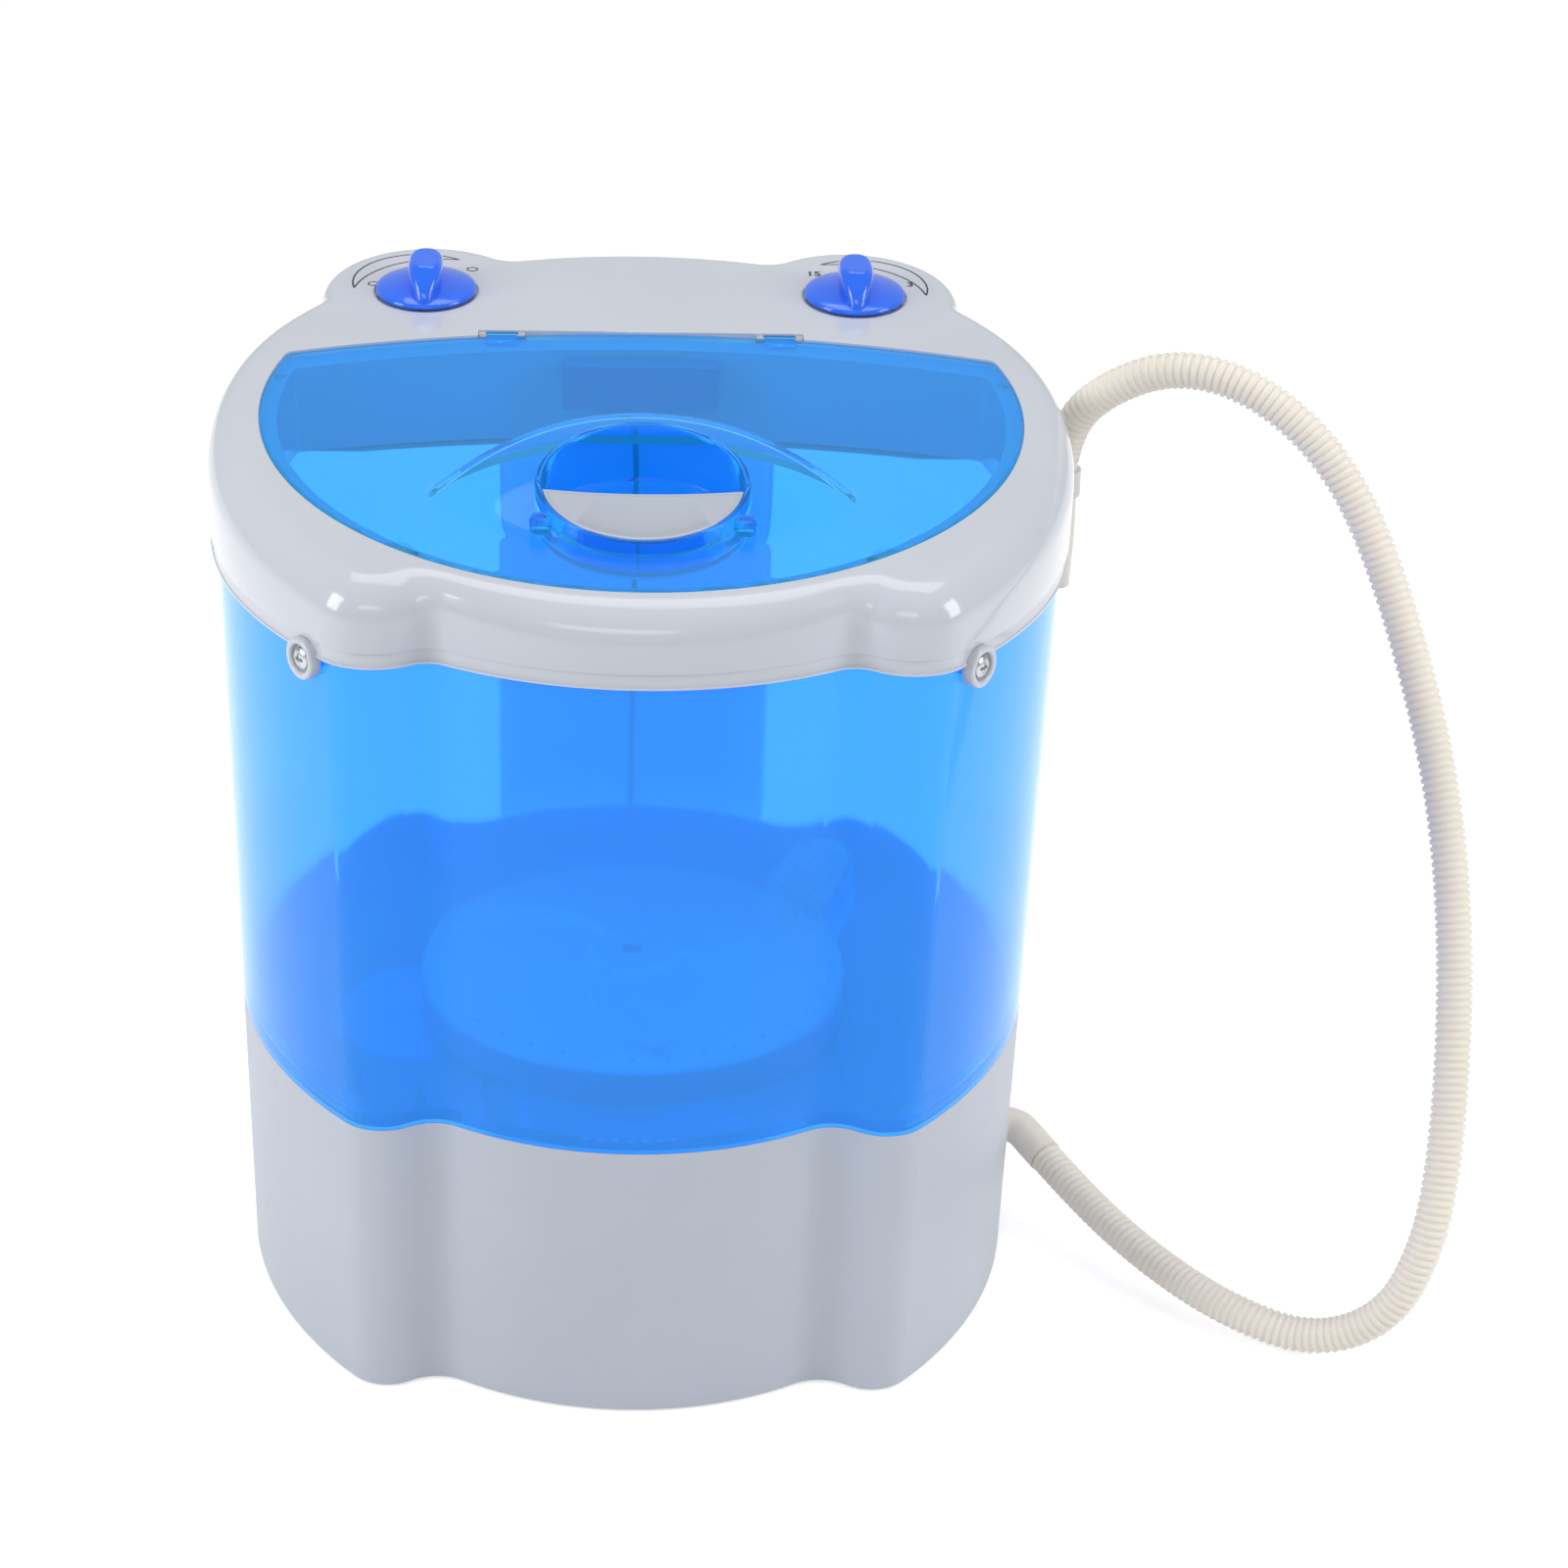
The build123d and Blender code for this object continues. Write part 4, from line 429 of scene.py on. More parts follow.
def moulded_skin():
    """Fine spark-eroded grain, slow colour drift and faint rub marks of a moulded skin."""
    name = "Moulded skin"
    if name in bpy.data.node_groups:
        return bpy.data.node_groups[name]
    tree, start, end = new_group(
        name, "ShaderNodeTree",
        [("Vector", "Vector", None), ("Grain Scale", "Float", 1500.0),
         ("Drift Scale", "Float", 9.0), ("Rub Scale", "Float", 60.0)],
        [("Grain", "Float"), ("Drift", "Float"), ("Rub", "Float")])
    place = start.outputs["Vector"]
    strokes = add_node(tree, "ShaderNodeMapping", {
        "Vector": place, "Rotation": (0.3, 0.5, 0.2), "Scale": (1, 6, 2)})
    rub = noise(tree, strokes.outputs[0], start.outputs["Rub Scale"], 4.0, 0.65, 0.4)
    worn = add_node(tree, "ShaderNodeMapRange", {"Value": rub, "From Min": 0.5, "From Max": 0.72})
    tree.links.new(noise(tree, place, start.outputs["Grain Scale"], 2.0, 0.6), end.inputs["Grain"])
    tree.links.new(noise(tree, place, start.outputs["Drift Scale"], 3.0), end.inputs["Drift"])
    tree.links.new(worn.outputs[0], end.inputs["Rub"])
    return tree


def metal_skin():
    """Fine turning lines and patches of a plain metal surface."""
    name = "Metal skin"
    if name in bpy.data.node_groups:
        return bpy.data.node_groups[name]
    tree, start, end = new_group(
        name, "ShaderNodeTree",
        [("Vector", "Vector", None), ("Line Scale", "Float", 400.0)],
        [("Lines", "Float"), ("Patches", "Float")])
    place = start.outputs["Vector"]
    drawn = add_node(tree, "ShaderNodeMapping", {"Vector": place, "Scale": (0.15, 0.15, 4.0)})
    tree.links.new(noise(tree, drawn.outputs[0], start.outputs["Line Scale"], 3.0, 0.7), end.inputs["Lines"])
    tree.links.new(noise(tree, place, 70.0, 4.0), end.inputs["Patches"])
    return tree


def linear(shade):
    """A screen colour as the shader's own linear values, with full alpha."""
    return tuple(c / 12.92 if c <= 0.04045 else ((c + 0.055) / 1.055) ** 2.4 for c in shade) + (1.0,)


def tinted(shade, share):
    """A screen colour made lighter (above 1) or darker."""
    return tuple(min(1.0, c * share) for c in shade)


def spread(tree, factor, low, high):
    """A value that runs from low to high with a factor."""
    return add_node(tree, "ShaderNodeMapRange", {"Value": factor, "To Min": low, "To Max": high}).outputs[0]


def skinned(name, group, scale, masks, shades, dull, depth, plain):
    """A material whose grain, colour and roughness follow a skin's masks, the grain's depth in microns."""
    made = bpy.data.materials.new(name)
    made.use_nodes = True
    tree = made.node_tree
    tree.nodes.clear()
    place = tree.nodes.new("ShaderNodeTexCoord").outputs["Object"]
    skin = add_node(tree, "ShaderNodeGroup", node_tree=group)
    tree.links.new(place, skin.inputs["Vector"])
    skin.inputs[1].default_value = scale
    grain, drift, rub = (skin.outputs[mask] for mask in masks)
    low, high = (linear(shade) for shade in shades)
    colour = add_node(tree, "ShaderNodeMix", {0: drift, 6: low, 7: high}, data_type="RGBA")
    bump = add_node(tree, "ShaderNodeBump", {"Height": grain, "Strength": 1.0, "Distance": depth * MICRON})
    shader = add_node(tree, "ShaderNodeBsdfPrincipled", {
        "Base Color": colour.outputs[2], "Roughness": spread(tree, rub, *dull), "Normal": bump.outputs[0],
        **plain})
    add_node(tree, "ShaderNodeOutputMaterial", {"Surface": shader.outputs[0]})
    return made


def moulded(name, shade, roughness, grain=1500.0, depth=10, drift=0.03, rub=0.06, **plain):
    """A moulded plastic or rubber: colour drift, rubbed patches and a fine grain."""
    shades = (tinted(shade, 1 - drift), tinted(shade, 1 + drift))
    dull = (roughness, roughness + rub)
    return skinned(name, moulded_skin(), grain, ("Grain", "Drift", "Rub"), shades, dull, depth, plain)


def metal(name, shade, roughness, lines=400.0, depth=8):
    """A plain metal with drawn lines and duller patches."""
    shades = (tinted(shade, 0.86), tinted(shade, 1.06))
    dull = (roughness - 0.05, roughness + 0.12)
    masks = ("Lines", "Patches", "Patches")
    return skinned(name, metal_skin(), lines, masks, shades, dull, depth, {"Metallic": 1.0})


def clear_plastic(name, shade, roughness, milk, glow, strength):
    """A tinted clear plastic. Lamps shine through it, and a weak glow stands for the light it scatters."""
    made = moulded(name, shade, roughness, grain=600, depth=0.8, drift=0.015, rub=0.03, **{
        "Transmission Weight": 1.0 - milk, "IOR": 1.25, "Specular IOR Level": 0.6,
        "Emission Color": linear(glow), "Emission Strength": strength})
    tree = made.node_tree
    shader = next(n for n in tree.nodes if n.type == "BSDF_PRINCIPLED")
    end = next(n for n in tree.nodes if n.type == "OUTPUT_MATERIAL")
    path = tree.nodes.new("ShaderNodeLightPath")
    lit = maths(tree, "MAXIMUM", path.outputs["Is Shadow Ray"], path.outputs["Is Diffuse Ray"])
    through = add_node(tree, "ShaderNodeBsdfTransparent", {"Color": linear(shade)})
    both = add_node(tree, "ShaderNodeMixShader", {0: lit, 1: shader.outputs[0], 2: through.outputs[0]})
    tree.links.new(both.outputs[0], end.inputs["Surface"])
    return made


def coated(weight, roughness):
    """A glossy coat over a plastic."""
    return {"Coat Weight": weight, "Coat Roughness": roughness}


def finish(slot):
    """The material of a slot, made when it is first asked for."""
    name = "Washer " + slot.replace("_", " ")
    if name in bpy.data.materials:
        return bpy.data.materials[name]
    colours = bpy.context.scene.washer_colours
    makers = {
        "collar_grey": lambda: moulded(name, colours.collar, 0.16, 900, 4, **coated(0.5, 0.05)),
        "base_grey": lambda: moulded(name, colours.base, 0.42, 1600, 40, rub=0.1),
        # The duct cover's near-white colour and faint glow are painted light: they stand in for the light
        # that reaches it through the tub.
        "duct_painted_light": lambda: moulded(name, (0.95, 0.97, 1.0), 0.42, 1600, 40, rub=0.1, **{
            "Emission Color": linear((0.7, 0.97, 1.0)), "Emission Strength": 0.3}),
        "hidden_grey": lambda: moulded(name, (0.68, 0.7, 0.73), 0.5, 1400, 30),
        "tub_blue": lambda: clear_plastic(name, colours.tub, 0.08, 0.12, (0.0, 0.71, 1.0), 0.14),
        "lid_blue": lambda: clear_plastic(name, colours.lid, 0.03, 0.04, (0.35, 0.84, 0.9), 0.07),
        "cup_blue": lambda: clear_plastic(name, tinted(colours.lid, 0.92), 0.04, 0.05, (0.0, 0.6, 1.0), 0.07),
        "knob_blue": lambda: moulded(name, colours.knob, 0.14, 800, 3, **coated(0.6, 0.04)),
        "grip_grey": lambda: moulded(name, (0.71, 0.74, 0.79), 0.2, 900, 4, **coated(0.4, 0.06)),
        "pulsator_blue": lambda: moulded(name, (0.86, 0.99, 0.96), 0.35, 1200, 20),
        "chute_blue": lambda: moulded(name, (0.42, 0.56, 0.74), 0.3, 1200, 10),
        "white_plastic": lambda: moulded(name, (0.88, 0.88, 0.87), 0.35, 1400, 20),
        "hose_white": lambda: moulded(name, colours.hose, 0.4, 1800, 20, rub=0.12, **{
            "Subsurface Weight": 0.1, "Subsurface Scale": 0.004}),
        "black_plastic": lambda: moulded(name, (0.10, 0.10, 0.11), 0.45, 1500, 30),
        "black_rubber": lambda: moulded(name, (0.09, 0.09, 0.095), 0.8, 1100, 60, rub=0.15),
        "grey_rubber": lambda: moulded(name, (0.4, 0.41, 0.43), 0.7, 1100, 50, rub=0.15),
        "steel": lambda: metal(name, (0.80, 0.81, 0.83), 0.22),
        "bronze": lambda: metal(name, (0.78, 0.6, 0.36), 0.38),
        "motor_can": lambda: metal(name, (0.72, 0.73, 0.75), 0.35, 250),
        "core_iron": lambda: metal(name, (0.42, 0.43, 0.45), 0.55, 800, 30),
        "copper_winding": lambda: metal(name, (0.72, 0.38, 0.22), 0.35, 1500, 50),
        "mark_ink": lambda: moulded(name, (0.2, 0.22, 0.27), 0.5, 2500, 5),
    }
    return makers[slot]()


def slot_of(node):
    """The material slot that the record gives a node."""
    for part in frame["record"]["subparts"]:
        if part["node"] == node:
            return part["material_slot"]
    raise ValueError(f"the record has no node {node}")


# Geometry trees


def close_tree(tree, made, start, end):
    """Ends a geometry tree: real meshes in one material."""
    real = add_node(tree, "GeometryNodeRealizeInstances", {"Geometry": made})
    dyed = add_node(tree, "GeometryNodeSetMaterial", {
        "Geometry": real.outputs[0], "Material": start.outputs["Material"]})
    tree.links.new(dyed.outputs[0], end.inputs["Geometry"])
    return tree


def repeat_tree():
    """Repeats one part on every point of a mesh, turned by the points' own Euler angles."""
    name = "Repeat on places"
    if name in bpy.data.node_groups:
        return bpy.data.node_groups[name]
    tree, start, end = new_group(
        name, "GeometryNodeTree",
        [("Geometry", "Geometry", None), ("Part", "Object", None),
         ("Size", "Float", 1.0), ("Material", "Material", None)],
        [("Geometry", "Geometry")])
    part = add_node(tree, "GeometryNodeObjectInfo", {"Object": start.outputs["Part"]})
    turn = add_node(tree, "GeometryNodeInputNamedAttribute", {"Name": "turn"}, data_type="FLOAT_VECTOR")
    aim = add_node(tree, "FunctionNodeEulerToRotation", {"Euler": turn.outputs[0]})
    placed = add_node(tree, "GeometryNodeInstanceOnPoints",
                      {"Points": start.outputs["Geometry"], "Instance": part.outputs["Geometry"],
                       "Rotation": aim.outputs[0], "Scale": start.outputs["Size"]})
    return close_tree(tree, placed.outputs[0], start, end)


def ridged_tube_tree():
    """A tube along a mesh line, with ridges at an even pitch."""
    name = "Ridged tube"
    if name in bpy.data.node_groups:
        return bpy.data.node_groups[name]
    tree, start, end = new_group(
        name, "GeometryNodeTree",
        [("Geometry", "Geometry", None), ("Radius", "Float", 0.008),
         ("Groove", "Float", 0.001), ("Pitch", "Float", 0.0034),
         ("Step", "Float", 0.00042), ("Sides", "Int", 28),
         ("Material", "Material", None)],
        [("Geometry", "Geometry")])
    line = add_node(tree, "GeometryNodeMeshToCurve", {"Mesh": start.outputs["Geometry"]})
    fine = add_node(tree, "GeometryNodeResampleCurve",
                    {"Curve": line.outputs[0], "Length": start.outputs["Step"]}, mode="LENGTH")
    along = add_node(tree, "GeometryNodeSplineParameter")
    ridges = maths(tree, "DIVIDE", along.outputs["Length"], start.outputs["Pitch"])
    wave = maths(tree, "COSINE", maths(tree, "MULTIPLY", ridges, 2 * pi))
    share = add_node(tree, "ShaderNodeMapRange", {"Value": wave, "From Min": -0.35, "From Max": 1.0},
                     interpolation_type="SMOOTHSTEP")
    cut = maths(tree, "MULTIPLY", share.outputs[0], start.outputs["Groove"])
    radius = maths(tree, "SUBTRACT", start.outputs["Radius"], cut)
    profile = add_node(tree, "GeometryNodeCurvePrimitiveCircle", {
        "Resolution": start.outputs["Sides"], "Radius": 1.0})
    tube = add_node(tree, "GeometryNodeCurveToMesh", {
        "Curve": fine.outputs[0], "Profile Curve": profile.outputs[0], "Scale": radius, "Fill Caps": True})
    return close_tree(tree, tube.outputs[0], start, end)


def run_tree(mesh, tree, values):
    """Runs a geometry tree on a mesh with its named inputs, and returns the plain mesh."""
    maker = put("maker", mesh)
    modifier = maker.modifiers.new("tree", "NODES")
    modifier.node_group = tree
    sockets = {item.name: item.identifier for item in tree.interface.items_tree if item.in_out == "INPUT"}
    for label, value in values.items():
        modifier[sockets[label]] = value
    return plain_mesh(maker)


def repeated(name, places, part, material, sharp=32.0):
    """Repeats a part on places, each a point in metres and the direction that the part's Z faces."""
    mesh = bpy.data.meshes.new(name + " places")
    mesh.from_pydata([tuple(point) for point, _ in places], [], [])
    turns = mesh.attributes.new("turn", "FLOAT_VECTOR", "POINT")
    for spot, (_, facing) in zip(turns.data, places):
        spot.vector = Vector(facing).to_track_quat("Z", "Y").to_euler()
    result = run_tree(mesh, repeat_tree(), {"Part": part, "Material": material})
    bpy.data.objects.remove(part)
    return finished(name, result, material, sharp)


# Operators


class WASHER_OT_stage(bpy.types.Operator):
    """Make the camera, the floor, the lamps and the room light."""

    bl_idname = "washer.stage"
    bl_label = "Studio"

    def execute(self, context):
        scene = context.scene
        level = scene.washer_stage
        scene.view_settings.view_transform = "Standard"
        self.camera(scene)
        self.floor(level)
        for name, place, size, power in (
            ("key left", (-1.7, -0.75, 1.15), (0.7, 1.1), level.key_power),
            ("key right", (1.7, -0.6, 1.1), (0.7, 1.1), level.key_power * 0.8),
            ("front", (-0.25, -1.9, 1.5), (1.2, 0.35), level.front_power),
            ("top", (0.1, 0.35, 1.75), (1.3, 0.8), level.top_power),
        ):
            lamp = bpy.data.lights.new(name, "AREA")
            lamp.shape = "RECTANGLE"
            lamp.size, lamp.size_y = size
            lamp.energy = power
            made = put(name, lamp)
            made.location = place
            made.rotation_euler = (Vector((0, 0, 0.22)) - Vector(place)).to_track_quat("-Z", "Y").to_euler()
        self.room(scene, level)
        return {"FINISHED"}

    def camera(self, scene):
        """The camera where the photograph was taken from, with its turn, roll and framing."""
        target = Vector((0, 0, 0.1934))
        place = Vector((-0.0173, -1.37705, 0.89813))
        roll = radians(1.01)
        ahead = (target - place).normalized()
        right = ahead.cross(Vector((0, 0, 1))).normalized()
        up = right.cross(ahead)
        across = cos(roll) * right + sin(roll) * up
        over = -sin(roll) * right + cos(roll) * up
        lens = bpy.data.cameras.new("camera")
        lens.sensor_width = 36.0
        lens.lens = 77.985
        lens.shift_x = 0.0956
        lens.shift_y = 0.0388
        lens.clip_end = 50.0
        made = put("camera", lens)
        made.matrix_world = Matrix((across, over, -ahead)).transposed().to_4x4()
        made.matrix_world.translation = place
        scene.camera = made

    def floor(self, level):
        """A wide pale floor that keeps the washer's shadow and is white to the camera and in reflections."""
        mesh = bpy.data.meshes.new("floor")
        half = 9.0
        corners = [(-half, -half, 0), (half, -half, 0), (half, half, 0), (-half, half, 0)]
        mesh.from_pydata(corners, [], [(0, 1, 2, 3)])
        material = bpy.data.materials.new("Floor")
        material.use_nodes = True
        tree = material.node_tree
        tree.nodes.clear()
        matt = add_node(tree, "ShaderNodeBsdfDiffuse", {"Color": (0.82, 0.82, 0.82, 1)})
        glow = self.seen_white(tree, level.floor_glow)
        both = add_node(tree, "ShaderNodeAddShader", {0: matt.outputs[0], 1: glow})
        add_node(tree, "ShaderNodeOutputMaterial", {"Surface": both.outputs[0]})
        mesh.materials.append(material)
        made = put("floor", mesh)

    def seen_white(self, tree, strength):
        """White light that only the camera, reflections and clear plastic see."""
        path = tree.nodes.new("ShaderNodeLightPath")
        seen = maths(tree, "MAXIMUM", path.outputs["Is Camera Ray"], path.outputs["Is Transmission Ray"])
        seen = maths(tree, "MAXIMUM", seen, path.outputs["Is Glossy Ray"])
        glow = add_node(tree, "ShaderNodeEmission", {
            "Color": (1, 1, 1, 1), "Strength": maths(tree, "MULTIPLY", seen, strength)})
        return glow.outputs[0]

    def room(self, scene, level):
        """Even light from all sides, and white where the camera looks past the floor."""
        world = scene.world or bpy.data.worlds.new("World")
        scene.world = world
        world.use_nodes = True
        tree = world.node_tree
        tree.nodes.clear()
        path = tree.nodes.new("ShaderNodeLightPath")
        seen = maths(tree, "MAXIMUM", path.outputs["Is Camera Ray"], path.outputs["Is Transmission Ray"])
        even = add_node(tree, "ShaderNodeBackground", {
            "Color": (1, 1, 1, 1), "Strength": spread(tree, seen, level.room_level, 1.0)})
        add_node(tree, "ShaderNodeOutputWorld", {"Surface": even.outputs[0]})


class WASHER_OT_hose(bpy.types.Operator):
    """Make the ridged drain hose along its route."""

    bl_idname = "washer.hose"
    bl_label = "Drain hose"

    def execute(self, context):
        sizes = context.scene.washer_sizes
        curve = bpy.data.curves.new("hose route", "CURVE")
        curve.dimensions = "3D"
        curve.resolution_u = 24
        spline = curve.splines.new("NURBS")
        spline.points.add(len(HOSE_ROUTE) - 1)
        for spot, place in zip(spline.points, HOSE_ROUTE):
            spot.co = (*place, 1.0)
        spline.order_u = 3
        spline.use_endpoint_u = True
        line = plain_mesh(put("hose route", curve))
        path = [tuple(vertex.co) for vertex in line.vertices]
        material = finish("hose_white")
        tube = run_tree(line, ridged_tube_tree(), {
            "Radius": sizes.hose_diameter / 2, "Groove": sizes.hose_groove, "Pitch": sizes.hose_pitch,
            "Step": sizes.hose_pitch / 8, "Sides": 28, "Material": material})
        hose = riding(finished("hose", tube, material, 60), "machine_body", "hose_white", "drain_hose")
        return {"FINISHED"}


class WASHER_OT_dress(bpy.types.Operator):
    """Give every node of the solids its slot's finish, and the duct's thin cover a paler, faintly glowing
    one: painted light that stands in for the light reaching it through the tub.
    """

    bl_idname = "washer.dress"
    bl_label = "Finishes of the solids"

    def execute(self, context):
        for name, node in frame["nodes"].items():
            node.data.materials.clear()
            # The rear duct cover takes a painted-light finish, paler and glowing where it lies in shade.
            slot = "duct_painted_light" if name == "rear_duct_cover" else slot_of(name)
            node.data.materials.append(finish(slot))
        return {"FINISHED"}


def lid_ring(grow, back_grow, depth):
    """The lid's outline grown by amounts, at a depth in the panel's own axes."""
    return [on_panel(u, v, depth) for u, v, _, _ in lid_loop(grow, back_grow)]


def lid_ring_at(grow, back_grow, height):
    """The lid's outline square down through the panel, cut off level at a height."""
    rows = []
    for u, v, _, _ in lid_loop(grow, back_grow):
        depth = (height - PANEL_HEIGHT - v * sin(PANEL_TILT)) / cos(PANEL_TILT)
        rows.append(on_panel(u, v, depth))
    return rows


def rounded_ring(loop, grow, rounding, turn, drop):
    """A ring on the collar's rounded edge, some way up its quarter circle, below the panel by a drop."""
    x, y = loop[:, 0], loop[:, 1]
    inset = grow - rounding * (1 - cos(turn))
    x, y = x + loop[:, 2] * inset, y + loop[:, 3] * inset
    z = PANEL_HEIGHT + y * tan(PANEL_TILT) - drop / cos(PANEL_TILT) - rounding * (1 - sin(turn))
    return list(zip(x, y, z))


def circle_at(u, v, radius, count=56):
    """Points of a circle in the panel's axes."""
    turns = [2 * pi * i / count for i in range(count)]
    return [(u + radius * cos(turn), v + radius * sin(turn)) for turn in turns]


def panel_uv(points):
    """The panel's own two axes of points that lie in a plane parallel to it."""
    return [(x, y * cos(PANEL_TILT) + (z - PANEL_HEIGHT) * sin(PANEL_TILT)) for x, y, z in points]


def boss_places(stand):
    """Where the four round bosses stand: a point on the wall grown by an amount, and its direction."""
    rows = []
    for hand in (-1, 1):
        for end in (-1, 1):
            turn = radians(end * BOSS_ANGLE)
            arm = SIDE_RADIUS + stand
            x = hand * (HALF_WIDTH - SIDE_RADIUS + arm * cos(turn))
            place = Vector((x, arm * sin(turn), BOSS_HEIGHT)) * MM
            rows.append((place, (hand * cos(turn), sin(turn), 0)))
    return rows


class WASHER_OT_collar(bpy.types.Operator):
    """Make the collar: a rounded form with the lid's recess and skirt, a band under it and knob recesses."""

    bl_idname = "washer.collar"
    bl_label = "Collar"

    def execute(self, context):
        sizes = context.scene.washer_sizes
        mould = Mould()
        self.form(mould, sizes.collar_round_front / MM, sizes.collar_round_rear / MM)
        made = mould.piece("collar", finish("collar_grey"), sharp=34)
        self.cut_hinge_pockets(made)
        riding(made, "machine_body", "collar_grey", "top_collar")
        mould = Mould()
        self.band(mould)
        riding(mould.piece("collar_band", finish("collar_grey"), sharp=34), "machine_body", "collar_grey")
        return {"FINISHED"}

    def form(self, mould, front, rear):
        """The hollow form over the band, with everything that is moulded into it."""
        loop = collar_loop()
        change_from, change_over = -30, 120
        share = np.clip((loop[:, 1] - change_from) / change_over, 0, 1)
        rounding = front + (rear - front) * share * share * (3 - 2 * share)
        edge = np.array(flat_ring(loop, COLLAR_GROW, 0))[:, :2]
        hole = np.array(lid_ring(1.6, 3.7, 0))[:, :2]
        gap = np.sqrt(((edge[:, None] - hole[None]) ** 2).sum(axis=2)).min(axis=1)
        rounding = np.minimum(rounding, gap - 1.5)
        wall, bend = 3.0, rounding * 0.56
        turns = [radians(90 * i / 12) for i in range(13)]
        outside = [flat_ring(loop, COLLAR_GROW - inset, BAND_TOP + rise)
                   for inset, rise in ((0.6, 0.0), (0.15, 0.15), (0.0, 0.6))]
        outside += [rounded_ring(loop, COLLAR_GROW, rounding, turn, 0) for turn in turns]
        outside.append(rounded_ring(loop, COLLAR_GROW - 0.8, rounding, turns[-1], 0))
        inside = [rounded_ring(loop, COLLAR_GROW - wall, bend, turn, wall) for turn in reversed(turns)]
        inside += [flat_ring(loop, COLLAR_GROW - wall - inset, BAND_TOP + rise)
                   for inset, rise in ((0.0, 0.3), (0.2, 0.0))]
        recess = self.recess()
        outer = mould.skin(outside)
        inner = mould.skin(inside)
        mould.wall([inner[-1], outer[0]])
        mould.skin(recess)
        knobs = [circle_at(hand * KNOB_X, KNOB_Y, KNOB_WELL_RADIUS) for hand in (-1, 1)]
        mould.fill([panel_uv(outside[-1]), panel_uv(recess[0])] + knobs, lambda u, v: on_panel(u, v, 0))
        mould.fill([panel_uv(inside[0]), panel_uv(recess[-1])], lambda u, v: on_panel(u, v, -wall))
        for hand in (-1, 1):
            rings = []
            for inset, depth in ((0, 0), (0.7, 0), (1.0, -0.15), (1.1, -0.5), (1.1, -1.6), (18.9, -1.6)):
                well = circle_at(hand * KNOB_X, KNOB_Y, KNOB_WELL_RADIUS - inset)
                rings.append([on_panel(u, v, depth) for u, v in well])
            mould.cap(mould.skin(rings)[-1])

    def recess(self):
        """The rings of the ledge that the lid lies on, and of the skirt that hangs into the tub."""
        inside, behind, wall, low = -7.0, -11.0, 2.4, 362.0
        ledge = ((1.6, 3.7, 0.0), (1.0, 3.1, 0.0), (0.7, 2.8, -0.1), (0.6, 2.7, -0.4), (0.6, 2.7, -3.5),
                 (-6.5, -10.5, -3.5), (-6.9, -10.9, -3.65), (inside, behind, -4.0))
        under = ((inside + wall, behind + wall, -7.9), (2.7, 5.7, -7.9), (2.7, 5.7, -3.0))
        skirt = [lid_ring_at(inside + grow, behind + grow, low) for grow in (0.0, wall)]
        return [lid_ring(*row) for row in ledge] + skirt + [lid_ring(*row) for row in under]

    def band(self, mould):
        """The band under the form, with a lip along its lower edge and a flange over the tub's rim."""
        loop = body_loop()
        rows = [(4.0, 357.4), (4.05, 352.0), (4.35, 351.2), (4.85, 350.9), (4.95, 350.5), (4.8, 350.05),
                (2.6, 350.0), (2.3, 350.3), (2.3, BAND_TOP), (-8.0, BAND_TOP), (-8.0, 359.1), (1.0, 359.1),
                (1.0, 357.4)]
        mould.skin([flat_ring(loop, grow, height) for grow, height in rows], closed=True)

    def cut_hinge_pockets(self, made):
        """Cuts the long shallow pocket that the lid's back edge turns in, and a deeper one at each hinge."""
        front, back, above = 75.3, 80.7, 6.0
        for middle, half, low in ((0, 60, -4.8), (-HINGE_X, 10.6, -6.4), (HINGE_X, 10.6, -6.4)):
            cutter = Mould()
            cutter.block((middle - half, middle + half), (front, back), (low, above))
            tool = cutter.piece("pocket cutter", finish("collar_grey"))
            cut = made.modifiers.new("pocket", "BOOLEAN")
            cut.operation = "DIFFERENCE"
            cut.solver = "EXACT"
            cut.object = tool
            made.data = seen_mesh(made)
            made.modifiers.clear()
            bpy.data.objects.remove(tool)
        made.data.set_sharp_from_angle(angle=radians(34))


def screw_head(radius, height):
    """A pan head with a cross recess, on the floor, as a piece to repeat."""
    mould = Mould()
    rows, sides = 16, 48
    slot, slope, reach = 0.62, 0.22, radius * 0.62

    def top(x, y):
        rise = height * (1 - 0.42 * (sqrt(x * x + y * y) / radius) ** 2.6)
        near, far = min(abs(x), abs(y)), max(abs(x), abs(y))
        cut = max(0.0, min(1.0, (slot - near) / slope)) * max(0.0, min(1.0, (reach - far) / 0.5))
        return (x, y, rise - 0.5 * height * cut)

    rings = [mould.ring([(x, y, 0) for x, y in circle_at(0, 0, radius, sides)])]
    for row in range(rows):
        circle = circle_at(0, 0, radius * (1 - row / rows) ** 0.9, sides)
        rings.append(mould.ring([top(x, y) for x, y in circle]))
    mould.wall(rings)
    mould.plug(rings)
    return mould.piece("head", finish("steel"), sharp=50)


